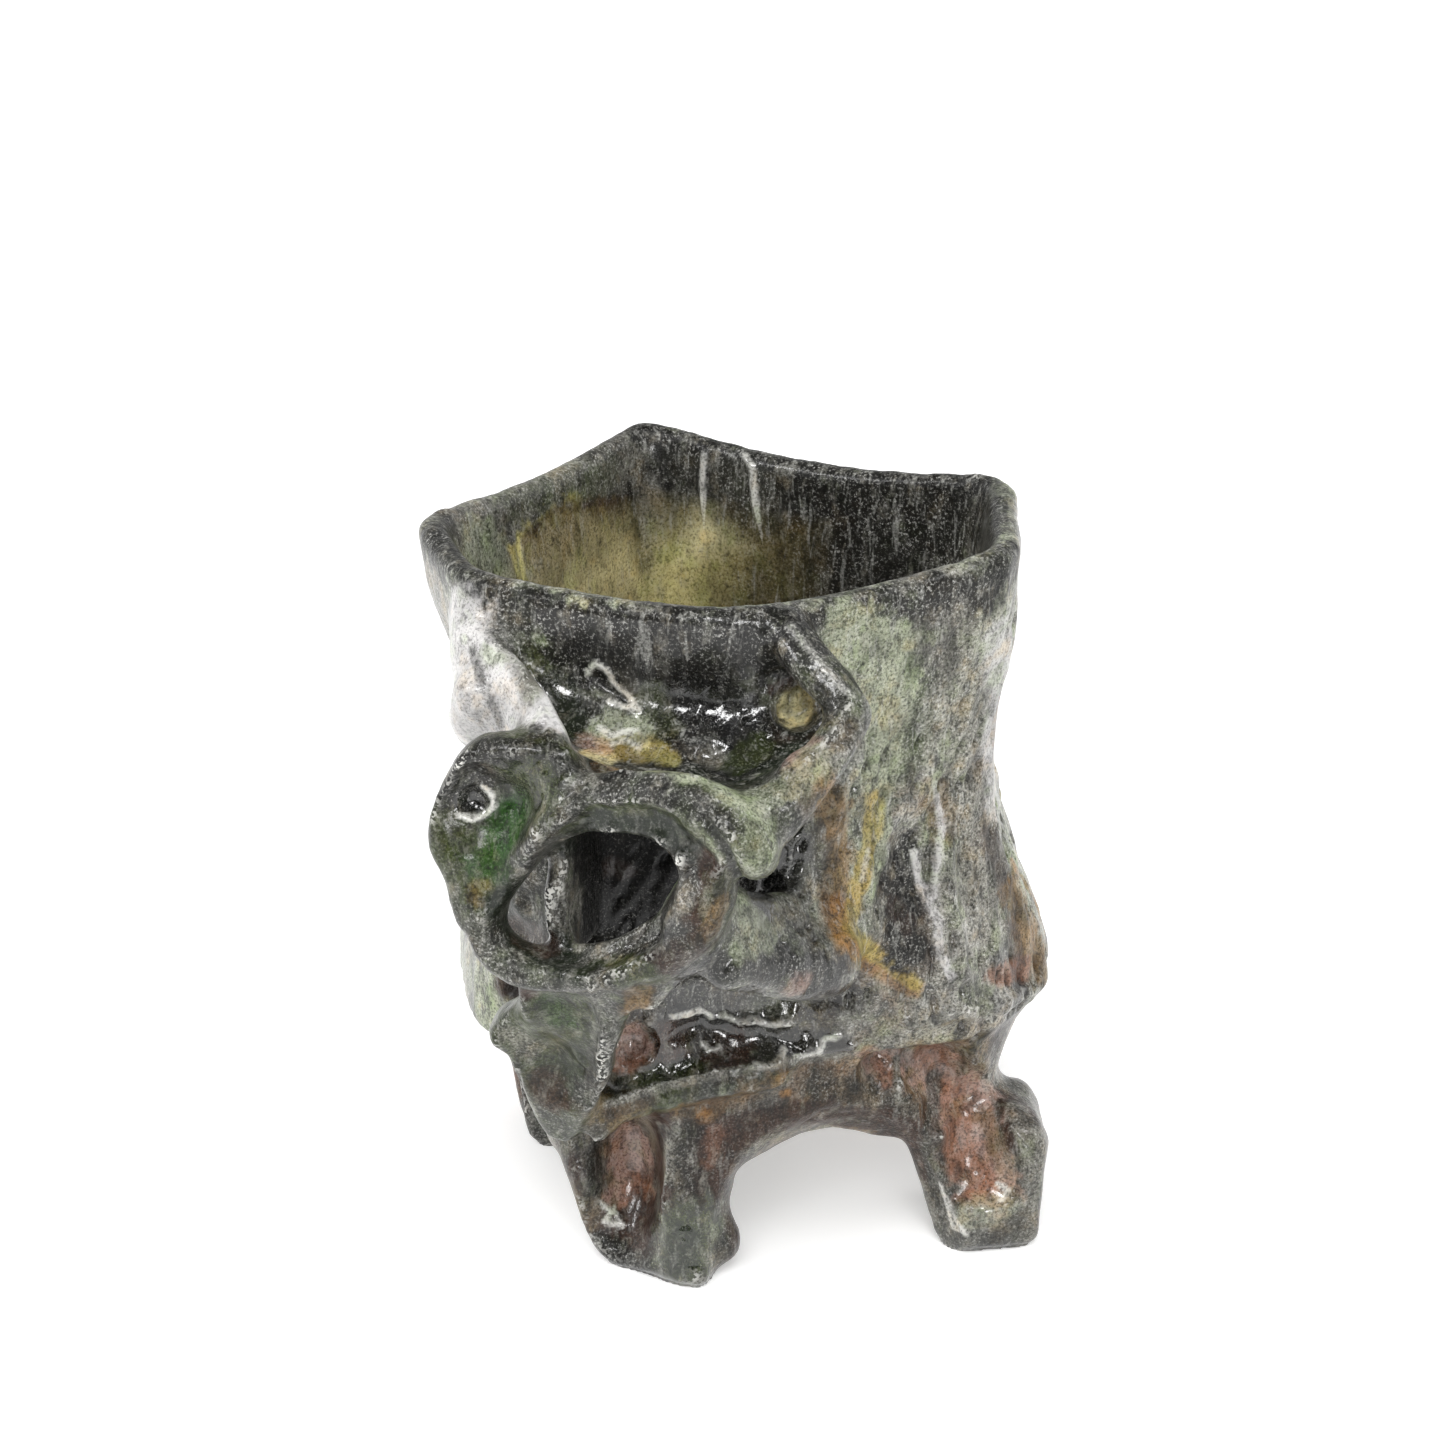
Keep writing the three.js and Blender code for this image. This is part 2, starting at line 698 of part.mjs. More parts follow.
// The lower wing's outline runs down from its top, so its own frame leans with it
function leaningWing(grow) {
  const { outline, top, bottom, thickness, dish } = lowerWing;
  const origin = onGrip([0, -top.drop, top.out]);
  const foot = onGrip([0, bellyHeight - bottom.drop - gripHeight, bottom.out]);
  const up = origin.clone().sub(foot).normalize();
  const out = new THREE.Vector3().crossVectors(gripAcross, up).normalize();
  const flip = (points) => points.map(([x, y]) => [x, -y]).reverse();
  const body = placed(plate(smoothOutline(flip(outline), 2), thickness, grow), gripAcross, up, out, origin);
  if (grow > 0) return body;
  const hollow = { ...dish, at: [dish.at[0], -dish.at[1], dish.at[2]] };
  return body.subtract(placed(dishIn(hollow), gripAcross, up, out, origin));
}

function restSection({ direction, floor, edge }, grow) {
  const { above, below, fillet, lip, lean } = restSpread;
  const corners = [
    [-restRoot, floor[1] - restThickness * above],
    [floor[0] * 0.3, floor[1] - restThickness * fillet],
    [floor[0] * 0.8, floor[1]],
    [mix(floor[0], edge[0], 0.5), floor[1]],
    [edge[0], edge[1]],
    [edge[0] - restThickness * lean, edge[1] + restThickness * lip],
    [floor[0], floor[1] + restThickness],
    [-restRoot, floor[1] + restThickness * below],
  ];
  return offsetOutline(corners, grow * slantAllowance).map(([out, drop]) => fromRim([direction, out, drop]));
}

function rest(grow) {
  const slip = (grow * slantAllowance) / (gripRadius * degrees);
  const last = thumbRest.length - 1;
  const solid = loft(thumbRest.map((station, index) => {
    const shift = (index === last ? slip : 0) - (index === 0 ? slip : 0);
    return restSection({ ...station, direction: station.direction + shift }, grow);
  }));
  if (grow > 0) return solid;
  const { direction, out, drop, radius, length, heading, dive } = thumbHole;
  const drill = new THREE.CylinderGeometry(radius, radius, length, 14);
  drill.rotateZ(Math.PI / 2);
  drill.rotateY(dive * degrees);
  drill.rotateZ((heading - 90) * degrees);
  drill.translate(...fromRim([direction, out, drop]).toArray());
  return solid.subtract(toSolid(drill));
}

function brace(grow) {
  const { across, thickness, out, below, above, root } = rearBrace;
  const length = gripRadius - cupRadius(gripDirection, waistHeight) + out + root;
  const fin = new THREE.BoxGeometry(thickness + 2 * grow, length + grow, below + above);
  fin.translate(0, length / 2, (above - below) / 2);
  fin.rotateZ(gripDirection * degrees);
  const foot = onGrip([across, 0, out]);
  fin.translate(foot.x, foot.y, foot.z);
  return toSolid(fin);
}

// Members are joined in the order that a potter would join them, and each one is trimmed back from
// those before it by the seam.
const mug = new THREE.Group();
const joined = [cupBody(seam).subtract(shelf(-seam)), deckBlock(seam)];

// A cut can leave a crumb of clay loose. Only the largest body of a mesh is kept.
function largestBody({ vertProperties, triVerts }) {
  const owner = Array.from({ length: vertProperties.length / 3 }, (_, index) => index);
  const find = (index) => {
    while (owner[index] !== index) index = owner[index];
    return index;
  };
  for (let corner = 0; corner < triVerts.length; corner += 3) {
    const root = find(triVerts[corner]);
    owner[find(triVerts[corner + 1])] = root;
    owner[find(triVerts[corner + 2])] = root;
  }
  const counts = new Map();
  for (const corner of triVerts) counts.set(find(corner), (counts.get(find(corner)) ?? 0) + 1);
  const [largest] = [...counts.entries()].sort((a, b) => b[1] - a[1])[0];
  const points = [];
  const faces = [];
  const renumbered = new Map();
  for (const corner of triVerts) {
    if (find(corner) !== largest) continue;
    if (!renumbered.has(corner)) {
      renumbered.set(corner, points.length);
      points.push(new THREE.Vector3().fromArray(vertProperties, corner * 3));
    }
    faces.push(renumbered.get(corner));
  }
  const geometry = new THREE.BufferGeometry().setFromPoints(points);
  geometry.setIndex(faces);
  return geometry;
}

function addMember(name, solid, finish) {
  const geometry = largestBody(solid.getMesh());
  const material = new THREE.MeshStandardMaterial({ ...finish, metalness: 0 });
  const mesh = new THREE.Mesh(geometry, material);
  mesh.name = name;
  mug.add(mesh);
}

function joinMember(name, build, finish) {
  const whole = build(0);
  const solid = joined.reduce((rest, earlier) => rest.subtract(earlier), whole);
  joined.push(build(seam).add(whole));
  addMember(name, solid, finish);
}

addMember('cup_wall', cupWall(), finishes.darkGlaze);
addMember('cup_floor', cupFloor(), finishes.olivePool);
addMember('foot_deck', footDeck(), finishes.rustFlash);
for (const [name, shape] of Object.entries(legs)) addMember(name, leg(shape), finishes.rustFlash);

joinMember('finger_ring', fingerRing, finishes.boneGrey);
joinMember('rim_strap', strap, finishes.boneGrey);
joinMember('left_fold', fold, finishes.boneGrey);
joinMember('thumb_rest', rest, finishes.darkGlaze);
joinMember('side_arm', arm, finishes.boneGrey);
joinMember('upper_wing', wing, finishes.copperGreen);
joinMember('knuckle_lobe', knuckle, finishes.boneGrey);
joinMember('lower_wing', leaningWing, finishes.copperGreen);
joinMember('lower_sill', sill, finishes.copperGreen);
joinMember('rear_brace', brace, finishes.darkGlaze);

// The origin moves to the centre of the footprint, on the table
const bounds = new THREE.Box3().setFromObject(mug);
const middle = bounds.getCenter(new THREE.Vector3());
mug.position.set(-middle.x, -middle.y, -bounds.min.z);

export default mug;
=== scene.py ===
"""A hand-built studio mug: pinched cup, bone-like grip and carved pedestal, in mottled glazes.

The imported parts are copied, fused into one soft body of clay, kneaded and cut apart again,
so that the joins between the parts are pressed together as a maker's fingers leave them.
"""

import math
from itertools import product

import bmesh
import bpy
import numpy as np
from bpy.props import FloatProperty, FloatVectorProperty, IntProperty, PointerProperty
from mathutils import Matrix, Vector
from mathutils.bvhtree import BVHTree


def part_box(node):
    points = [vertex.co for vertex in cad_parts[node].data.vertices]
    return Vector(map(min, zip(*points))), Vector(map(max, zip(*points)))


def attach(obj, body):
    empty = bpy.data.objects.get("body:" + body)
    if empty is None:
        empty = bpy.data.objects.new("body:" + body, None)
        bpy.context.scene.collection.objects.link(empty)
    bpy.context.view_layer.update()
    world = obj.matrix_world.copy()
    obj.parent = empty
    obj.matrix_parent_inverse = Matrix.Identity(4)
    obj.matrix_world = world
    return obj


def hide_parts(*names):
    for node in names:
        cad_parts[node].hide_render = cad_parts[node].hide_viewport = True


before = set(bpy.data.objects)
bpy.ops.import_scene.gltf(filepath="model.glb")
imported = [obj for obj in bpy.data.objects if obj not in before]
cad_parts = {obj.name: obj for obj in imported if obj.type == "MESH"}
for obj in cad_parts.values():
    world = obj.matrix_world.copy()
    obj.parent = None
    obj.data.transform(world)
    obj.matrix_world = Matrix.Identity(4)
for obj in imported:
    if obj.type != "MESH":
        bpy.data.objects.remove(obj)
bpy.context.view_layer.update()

bl_info = {
    "name": "Pinched studio mug",
    "version": (1, 0, 0),
    "blender": (4, 5, 0),
    "location": "View3D > Sidebar > Mug",
    "description": "Kneads, cuts and glazes a hand-built mug around its packed parts",
    "category": "Object",
}

MM = 0.001
CUP_AXIS = np.array([-3.056, 11.304])  # mm, the middle of the cup seen from above
CLAY = "kneaded_clay"


def linear(hex_colour):
    """An sRGB hex colour as linear red, green and blue."""
    parts = [int(hex_colour[k : k + 2], 16) / 255 for k in (1, 3, 5)]
    return [c / 12.92 if c <= 0.04045 else ((c + 0.055) / 1.055) ** 2.4 for c in parts]


def column(items, name, width, kind=np.float64):
    """One property of all of a mesh's vertices, edges or corners, as an array of rows."""
    values = np.zeros(len(items) * width, kind)
    items.foreach_get(name, values)
    return values.reshape(-1, width)


# What a user would change


class MUG_PG_clay(bpy.types.PropertyGroup):
    """How the clay body is fused and kneaded."""

    coarse_step: FloatProperty(
        name="Coarse step", description="Grid of the first fusing", default=0.8 * MM,
        subtype="DISTANCE", unit="LENGTH")
    fine_step: FloatProperty(
        name="Fine step", description="Grid of the finished body", default=0.5 * MM,
        subtype="DISTANCE", unit="LENGTH")
    swell: FloatProperty(
        name="Swell", description="How far each part grows to close the seams", default=0.3 * MM,
        subtype="DISTANCE", unit="LENGTH")
    fillet_rounds: IntProperty(
        name="Fillet rounds", description="How long the inner corners are filled", default=60)
    lumps: FloatProperty(
        name="Lumps", description="Height of the broad unevenness of hand-pressed clay",
        default=0.35 * MM, subtype="DISTANCE", unit="LENGTH")
    streaks: FloatProperty(
        name="Streaks", description="Depth of the upright runs in the wall",
        default=0.5 * MM, subtype="DISTANCE", unit="LENGTH")
    pinch: FloatProperty(
        name="Pinch", description="How much the ridges are drawn out", default=1.5,
        subtype="FACTOR")


def glaze_colour(name, description, hex_colour):
    """A colour property of the glaze."""
    return FloatVectorProperty(name=name, description=description, size=3, min=0, max=1,
                               subtype="COLOR", default=linear(hex_colour))


class MUG_PG_glaze(bpy.types.PropertyGroup):
    """The colours that the glaze breaks into."""

    charcoal: glaze_colour("Charcoal", "Thick iron-rich glaze", "#1b1a18")
    # Near-black pooled glaze, also laid as painted shade in the hole behind the ring, the cavity
    # right of the ring and the notch by the lower wing.
    black_glaze_and_shade: glaze_colour("Soot", "Deep pools in the shade", "#0b0b0a")
    slate: glaze_colour("Slate", "Thin dark glaze", "#454540")
    ash: glaze_colour("Ash", "Grey-lilac on bare ridges", "#7a786f")
    # Pale dry glaze on edges, also used as painted highlight: on the ridges and in the thin pale
    # strokes that trace glints and reflections.
    frost_and_highlight: glaze_colour("Frost", "Dry pitted edges", "#e2e1da")
    celadon: glaze_colour("Celadon", "Pale grey-green field", "#999f86")
    moss: glaze_colour("Moss", "Dull green", "#343c1b")
    copper: glaze_colour("Copper", "Bright green where the glaze runs thick", "#1f470b")
    bottle: glaze_colour("Bottle", "Near-black green", "#141c0f")
    olive: glaze_colour("Olive", "Khaki floor of the cup", "#c6bb6c")
    # This pale khaki is painted light: a lit copy of the olive glaze, laid where the lamp reaches
    # low in the cup and on the wall seen through the hole in the valley.
    painted_lit_khaki: glaze_colour("Khaki", "Lit ash glaze low in the cup", "#fff0b4")
    straw: glaze_colour("Straw", "Yellow runs", "#a5944e")
    ochre: glaze_colour("Ochre", "Brown-yellow runs", "#80653f")
    amber: glaze_colour("Amber", "Orange ends of the runs", "#a1702f")
    rust: glaze_colour("Rust", "Flashed clay", "#8a5f48")
    rose: glaze_colour("Rose", "Pink-grey in the scoops", "#a98a7d")
    umber: glaze_colour("Umber", "Dark brown", "#38261d")
    # Pale glaze that is also painted light: laid on the lit sides of the cup and its fold, and as
    # thin highlight lines on the ridges of the right wall.
    pale_glaze_and_painted_light: glaze_colour("Lavender", "Pale side of the cup", "#c9c7c6")


class MUG_PG_stage(bpy.types.PropertyGroup):
    """Floor, lights and camera."""

    floor_side: FloatProperty(
        name="Floor side", description="Side of the pale floor", default=8.0,
        subtype="DISTANCE", unit="LENGTH")
    # the glow is the floor's own emission: painted light that brightens the floor and lifts the
    # mug's shadows on it
    glow: FloatProperty(
        name="Glow", description="Light that comes up through the floor", default=0.33)
    sky: FloatProperty(name="Sky", description="Light of the white surroundings", default=1.0)
    key: FloatProperty(
        name="Key", description="Light from above", default=1.5, subtype="POWER", unit="POWER")
    window: FloatProperty(
        name="Window", description="Brightness of the windows that are mirrored in the wet glaze",
        default=26.0)


# Noise, in millimetres

# Odd factors that spread a cell's three whole numbers and the seed over 32 bits, and the
# shifts and factors that stir them.
CELL_FACTORS = np.array([374761393, 668265263, 1274126177])
SEED_FACTOR = 974634777
STIRS = ((13, 1103515245), (16, 747796405))
LAST_SHIFT = 15
BITS_32, BITS_24 = 0xFFFFFFFF, 0xFFFFFF
LAYER_SHIFT = 31.7  # in lumps, so that the layers of noise don't line up


def scrambled(cell, seed):
    """A repeatable random number from 0 to 1 for each whole-numbered cell."""
    bits = (cell.astype(np.int64) @ CELL_FACTORS + seed * SEED_FACTOR) & BITS_32
    for shift, factor in STIRS:
        bits = ((bits ^ (bits >> shift)) * factor) & BITS_32
    return ((bits ^ (bits >> LAST_SHIFT)) & BITS_24) / float(BITS_24)


def noise(place, size, seed, layers=1):
    """Soft noise from -1 to 1. Its lumps are about size mm across."""
    total, weight, reach = 0.0, 1.0, 0.0
    for layer in range(layers):
        spot = place / (size / 2**layer) + LAYER_SHIFT * (layer + 1)
        cell = np.floor(spot)
        t = spot - cell
        t = t * t * t * (t * (t * 6 - 15) + 10)
        value = 0.0
        for corner in product((0, 1), repeat=3):
            x, y, z = (t[:, k] if corner[k] else 1 - t[:, k] for k in range(3))
            value = value + x * y * z * scrambled(cell + corner, seed + layer)
        total = total + weight * (value * 2 - 1)
        reach += weight
        weight *= 0.5
    return total / reach


def pits(place, size, seed):
    """Distance to the nearest of many scattered points, in shares of size."""
    spot = place / size
    cell = np.floor(spot)
    best = np.full(len(spot), np.inf)
    for shift in product((-1, 0, 1), repeat=3):
        near = cell + shift
        point = np.stack([scrambled(near, seed + k) for k in range(3)], axis=1)
        best = np.minimum(best, ((near + point - spot) ** 2).sum(1))
    return np.sqrt(best)


def step(low, high, value):
    """0 below low, 1 above high, and smooth between."""
    t = np.clip((value - low) / (high - low), 0, 1)
    return t * t * (3 - 2 * t)


# The clay

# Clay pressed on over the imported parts: stations of (x, y, z, radius) in mm.
WEBS = [
    [(-3, -43, 67.5, 3.2), (2, -36, 64.5, 4.6), (7, -30, 61.5, 6.0), (11, -25, 59.5, 6.5)],
    [(-14, -42.5, 64.0, 3.0), (-11.5, -42.5, 67.5, 3.2), (-7, -43.5, 70.5, 3.2)],
    [(3.0, -46.5, 92.5, 2.8), (5.5, -44.0, 95.0, 2.8), (7.5, -42.0, 97.5, 2.6)],
    [(-4.6, -15.5, 5.0, 4.3), (-5.0, -15.0, 9.0, 3.2)],
    [(-37.5, -24.0, 101.0, 4.0), (-38.5, -20.0, 96.0, 4.0), (-38.5, -14.0, 92.0, 4.0)],
]

# Moves of the hand on the soft clay: (profile, points, radius mm, depth mm). A pair is a
# pixel of the 1445 frame, followed through the camera to the clay, and a triple is mm.
KNEADING = [
    ("bowl", [(622, 1128), (628, 1170), (634, 1218)], 8.0, 4.6),
    ("bowl", [(960, 1104), (970, 1140), (984, 1170)], 6.9, 3.8),
    ("bowl", [(884, 1060)], 4.8, 3.0),
    ("bowl", [(934, 1064)], 6.2, 3.4),
    ("bowl", [(632, 1046)], 4.0, 3.0),
    ("bowl", [(478, 800), (505, 842), (500, 885)], 6.5, 1.9),
    ("bowl", [(548, 775), (520, 800)], 5.0, 1.5),
    ("soft", [(530, 905), (548, 852), (600, 820), (660, 828), (698, 862), (690, 892)], 3.6, 1.8),
    ("soft", [(650, 932), (598, 957), (545, 950), (520, 925)], 3.6, 1.8),
    ("bowl", [(565, 1010), (572, 1050), (566, 1080)], 6.2, 2.0),
    ("bowl", [(796, 709)], 3.6, 3.0),
    ("bowl", [(514, 987)], 3.0, 2.2),
    ("soft", [(915, 850), (908, 910), (902, 965)], 8.0, 1.9),
    ("soft", [(945, 855), (951, 915), (962, 975)], 2.6, -1.0),
    ("soft", [(835, 800), (838, 870), (850, 940)], 3.0, -0.5),
    ("soft", [(690, 1030), (760, 1040), (820, 1048)], 6.0, 1.6),
    ("soft", [(672, 1014), (705, 1008), (738, 1021), (790, 1026)], 3.0, -0.9),
    ("soft", [(748, 1034), (762, 1054), (792, 1062), (838, 1044)], 3.0, -0.8),
    ("soft", [(905, 1022), (960, 1012), (1010, 1000), (1043, 978)], 2.4, -0.9),
    ("soft", [(612, 1098), (660, 1082), (720, 1068), (800, 1056), (850, 1048)], 2.0, -0.6),
    ("soft", [(762, 893)], 4.0, 1.6),
    # scoops on the sides that the photograph doesn't show
    ("bowl", [(24, 46, 17), (25, 46, 8)], 7.0, 2.8),
    ("bowl", [(-27, 39, 17), (-28, 38, 8)], 6.5, 2.6),
    ("bowl", [(-41, 25, 17), (-40, 26, 8)], 5.6, 2.2),
    ("bowl", [(37, 34, 17), (36, 34, 8)], 5.6, 2.2),
    ("bowl", [(-12, 51, 29), (-6, 51, 28)], 5.5, 2.4),
    ("bowl", [(12, 51, 30)], 5.0, 2.2),
    ("bowl", [(-43, 8, 29), (-43, 14, 28)], 5.5, 2.2),
    ("bowl", [(45, 20, 29), (44, 26, 29)], 5.0, 2.2),
]

# Finer marks, made once the grid is fine.
MARKS = [
    # creases and crisp ridges
    ("crease", [(704, 822), (724, 846), (737, 874)], 1.6, 1.6),
    ("crease", [(592, 985), (604, 1030), (600, 1075)], 1.3, -0.7),
    ("crease", [(568, 752), (620, 772), (700, 778)], 1.4, -0.6),
    ("crease", [(790, 625), (822, 665), (853, 697), (835, 735), (790, 775)], 1.3, -0.6),
    ("crease", [(590, 803), (650, 800), (700, 826)], 1.1, -0.4),
    ("crease", [(915, 854), (921, 887), (938, 920), (940, 952), (952, 977)], 1.1, -0.7),
    ("crease", [(936, 784), (942, 830), (936, 866), (934, 895)], 1.0, -0.6),
    ("crease", [(975, 790), (968, 850), (976, 920)], 0.9, -0.4),
    ("crease", [(905, 690), (896, 770)], 1.0, -0.35),
    ("crease", [(878, 772), (880, 830), (866, 890)], 1.0, -0.35),
    ("crease", [(850, 1048), (905, 1020), (960, 1010), (1010, 998), (1043, 977)], 1.3, -0.5),
    ("crease", [(612, 1100), (660, 1084), (720, 1070), (800, 1058)], 1.2, -0.4),
    ("crease", [(897, 1040), (897, 1070), (899, 1100)], 1.1, -0.5),
    ("crease", [(520, 655), (545, 700), (560, 730)], 1.2, 0.6),
    ("crease", [(500, 640), (525, 690), (540, 730)], 1.2, 0.5),
    ("crease", [(480, 660), (495, 700), (505, 735)], 1.2, 0.5),
    # burst blisters with a raised lip
    ("bowl", [(475, 801)], 2.6, 0.9),
    ("crease", [(459, 815), (473, 819), (485, 814), (493, 806), (492, 797), (482, 788)], 0.9, -0.6),
    ("bowl", [(600, 680), (622, 698)], 1.8, 0.5),
    ("crease", [(587, 674), (595, 664), (605, 670), (614, 684), (626, 694), (638, 709),
                (626, 707), (610, 701), (599, 697), (591, 688), (587, 674)], 0.8, -0.5),
    ("crease", [(688, 729), (692, 715), (700, 709), (696, 725), (688, 729)], 0.8, -0.4),
    ("crease", [(685, 1229), (689, 1233), (688, 1241), (684, 1244), (681, 1238), (682, 1231)], 0.8,
     -0.4),
    ("crease", [(683, 1268), (692, 1269), (697, 1274), (693, 1280), (686, 1280)], 0.8, -0.4),
    ("crease", [(940, 1185), (947, 1208), (952, 1227), (966, 1234), (956, 1222), (947, 1199)],
     0.8, -0.4),
    # wet lips and drips
    ("crease", [(674, 1018), (687, 1015), (699, 1011), (710, 1018), (726, 1016), (738, 1022),
                (756, 1020), (770, 1026), (788, 1023)], 1.1, -0.8),
    ("crease", [(754, 1066), (768, 1067), (782, 1059), (784, 1047), (802, 1058), (818, 1056),
                (825, 1038), (839, 1036)], 1.1, -0.8),
    ("crease", [(703, 1043), (710, 1050), (720, 1047), (716, 1040)], 1.0, -0.6),
    ("crease", [(787, 844), (793, 850), (789, 858), (797, 862), (783, 874), (779, 879)], 1.0, -0.6),
    ("crease", [(604, 1206), (612, 1212), (606, 1220), (622, 1224), (614, 1210)], 1.2, -0.6),
    ("soft", [(704, 455), (702, 482), (704, 528)], 1.0, -0.45),
    ("soft", [(742, 450), (752, 468), (756, 518)], 1.1, -0.45),
    ("bowl", [(712, 757)], 2.6, 0.9),
    ("soft", [(640, 752)], 3.2, 0.8),
    ("soft", [(600, 768)], 3.0, 0.8),
]


MERGE = 1e-6  # metres: corners closer than this are one
BALL_SPACING = 0.3  # the balls along a web stand this share of their radius apart


def swollen_copy(part, swell):
    """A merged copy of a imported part, grown so that it fuses with its neighbours."""
    one = bmesh.new()
    one.from_mesh(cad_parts[part].data)
    bmesh.ops.remove_doubles(one, verts=one.verts, dist=MERGE)
    one.normal_update()
    for v in one.verts:
        v.co += v.normal * swell
    mesh = bpy.data.meshes.new(part)
    one.to_mesh(mesh)
    one.free()
    return mesh


def fused_parts(swell):
    """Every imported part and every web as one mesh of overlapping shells."""
    heap = bmesh.new()
    for part in sorted(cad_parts):
        mesh = swollen_copy(part, swell)
        heap.from_mesh(mesh)
        bpy.data.meshes.remove(mesh)
    for web in WEBS:
        for low, high in zip(web, web[1:]):
            low, high = np.array(low), np.array(high)
            length = np.linalg.norm(high[:3] - low[:3])
            balls = max(2, math.ceil(length / (BALL_SPACING * low[3])))
            for k in range(balls + 1):
                ball = low + (high - low) * k / balls
                bmesh.ops.create_icosphere(
                    heap, subdivisions=3, radius=ball[3] * MM,
                    matrix=Matrix.Translation(Vector(ball[:3]) * MM))
    mesh = bpy.data.meshes.new(CLAY)
    heap.to_mesh(mesh)
    heap.free()
    return mesh


def regridded(obj, size):
    """Fuses the object's mesh on a grid of this size."""
    remesh = obj.modifiers.new("fuse", "REMESH")
    remesh.mode = "VOXEL"
    remesh.voxel_size = size
    remesh.adaptivity = 0
    graph = bpy.context.evaluated_depsgraph_get()
    mesh = bpy.data.meshes.new_from_object(obj.evaluated_get(graph))
    obj.modifiers.clear()
    old, obj.data = obj.data, mesh
    bpy.data.meshes.remove(old)
    mesh.name = CLAY


EASE = 0.7  # how far one round of easing takes a value to the mean of its neighbours
NORMALS_EVERY = 4  # rounds of melting between two looks at which way the clay faces
TINY = 1e-20  # keeps a length of 0 from being divided by


class Clay:
    """The body as arrays, in millimetres, for moves that a hand would make."""

    def __init__(self, mesh):
        self.mesh = mesh
        self.place = column(mesh.vertices, "co", 3) / MM
        self.edges = column(mesh.edges, "vertices", 2, np.int32)
        self.faces = column(mesh.loops, "vertex_index", 1, np.int32).reshape(-1, 4)
        # each vertex's neighbours as a row, filled up with itself where it has fewer
        ends = np.concatenate([self.edges, self.edges[:, ::-1]])
        ends = ends[np.argsort(ends[:, 0], kind="stable")]
        valence = np.bincount(ends[:, 0], minlength=len(self.place))
        slot = np.arange(len(ends)) - (np.cumsum(valence) - valence)[ends[:, 0]]
        self.next_to = np.repeat(np.arange(len(self.place))[:, None], valence.max(), axis=1)
        self.next_to[ends[:, 0], slot] = ends[:, 1]
        self.spare = (valence.max() - valence).astype(np.float32)[:, None]
        self.valence = valence.astype(np.float32)[:, None]

    def around(self, values):
        """The mean of each vertex's neighbours, for one column or several."""
        if values.ndim == 1:
            return self.around(values[:, None])[:, 0]
        total = -self.spare * values
        for neighbour in self.next_to.T:
            total += values[neighbour]
        return total / self.valence

    def eased(self, values, rounds):
        """The values spread into their neighbours, round after round."""
        values = values.astype(np.float32)
        for _ in range(rounds):
            values = values * (1 - EASE) + self.around(values) * EASE
        return values

    def normals(self):
        """Which way the clay faces at each vertex."""
        p, f = self.place, self.faces
        flat = np.cross(p[f[:, 2]] - p[f[:, 0]], p[f[:, 3]] - p[f[:, 1]])
        out = np.zeros_like(p)
        for corner in f.T:
            for k in range(3):
                out[:, k] += np.bincount(corner, flat[:, k], len(p))
        return out / (np.linalg.norm(out, axis=1, keepdims=True) + TINY)

    def proud_of(self, soft):
        """How far each vertex stands out from a softer copy of the clay, in mm."""
        return ((self.place - soft) * self.normals()).sum(1)

    def melt(self, rounds, bumps, hollows):
        """Smooths, with one share for what stands out and one for what lies in."""
        for r in range(rounds):
            pull = self.around(self.place) - self.place
            if r % NORMALS_EVERY == 0:
                normal = self.normals()
            inward = (pull * normal).sum(1) > 0
            self.place += pull * np.where(inward, hollows, bumps)[:, None]

    def tree(self):
        """The clay for looking up what a ray or a point meets."""
        return BVHTree.FromPolygons(self.place.tolist(), self.faces.tolist())

    def keep(self):
        """Writes the places back to the mesh."""
        self.mesh.vertices.foreach_set("co", (self.place * MM).ravel())
        self.mesh.update()


# The photograph's camera, from which a pixel is followed to the clay.
CAMERA_PLACE = Vector((-0.003156, -0.4546, 0.285))
CAMERA_TURN = Matrix.Rotation(math.radians(90 - 23.63), 4, "X")
CAMERA_LENS = 82.2
SENSOR = 36.0
NEAR_CLIP = 0.01  # metres
FRAME_SIDE = 1445
MUG_MIDDLE = 740  # the column of pixels that the mug stands on
NUDGES = range(0, 40, 4)  # a point just off the outline is drawn in by these until it lands

# A stroke is looked up on the clay once every stride, in the unit of its points.
BROAD_STRIDE = 1000  # a broad move runs straight between its points
FINE_STRIDE = 10  # a fine one follows the clay
JUMP = 0.6  # mm for each unit of stride: past this a stroke has left one part for another
SAME_WAY = -0.1  # least cosine between the clay under a stroke and the clay that it reaches
WOBBLE_SIZE = 5.0  # mm across the unevenness of a stroke's edge
NO_LENGTH = 1e-9  # keeps a length of 0 from being divided by


def landed(point, tree):
    """Where a point of a stroke lies on the clay, in mm, and which way the clay faces there."""
    if len(point) == 3:
        spot, normal, _, _ = tree.find_nearest(Vector(point))
        return spot, normal
    for nudge in NUDGES:
        side, down = point[0] + math.copysign(nudge, MUG_MIDDLE - point[0]), point[1]
        x, y = ((c - FRAME_SIDE / 2) / FRAME_SIDE * SENSOR / CAMERA_LENS for c in (side, down))
        ray = (CAMERA_TURN.to_3x3() @ Vector((x, -y, -1))).normalized()
        spot, normal, _, _ = tree.ray_cast(CAMERA_PLACE / MM, ray)
        if spot is not None:
            return spot, normal
    raise RuntimeError(f"the stroke point {point} misses the clay")


def followed(points, tree, stride):
    """A stroke's line on the clay, looked up once every stride: its places in mm, and which
    way the clay faces at each."""
    line = []
    for a, b in zip(points, points[1:]):
        steps = max(1, round(math.dist(a, b) / stride))
        line += [tuple(p + (q - p) * k / steps for p, q in zip(a, b)) for k in range(steps)]
    found = [landed(point, tree) for point in [*line, points[-1]]]
    return (np.array([tuple(v) for v in side]) for side in zip(*found))


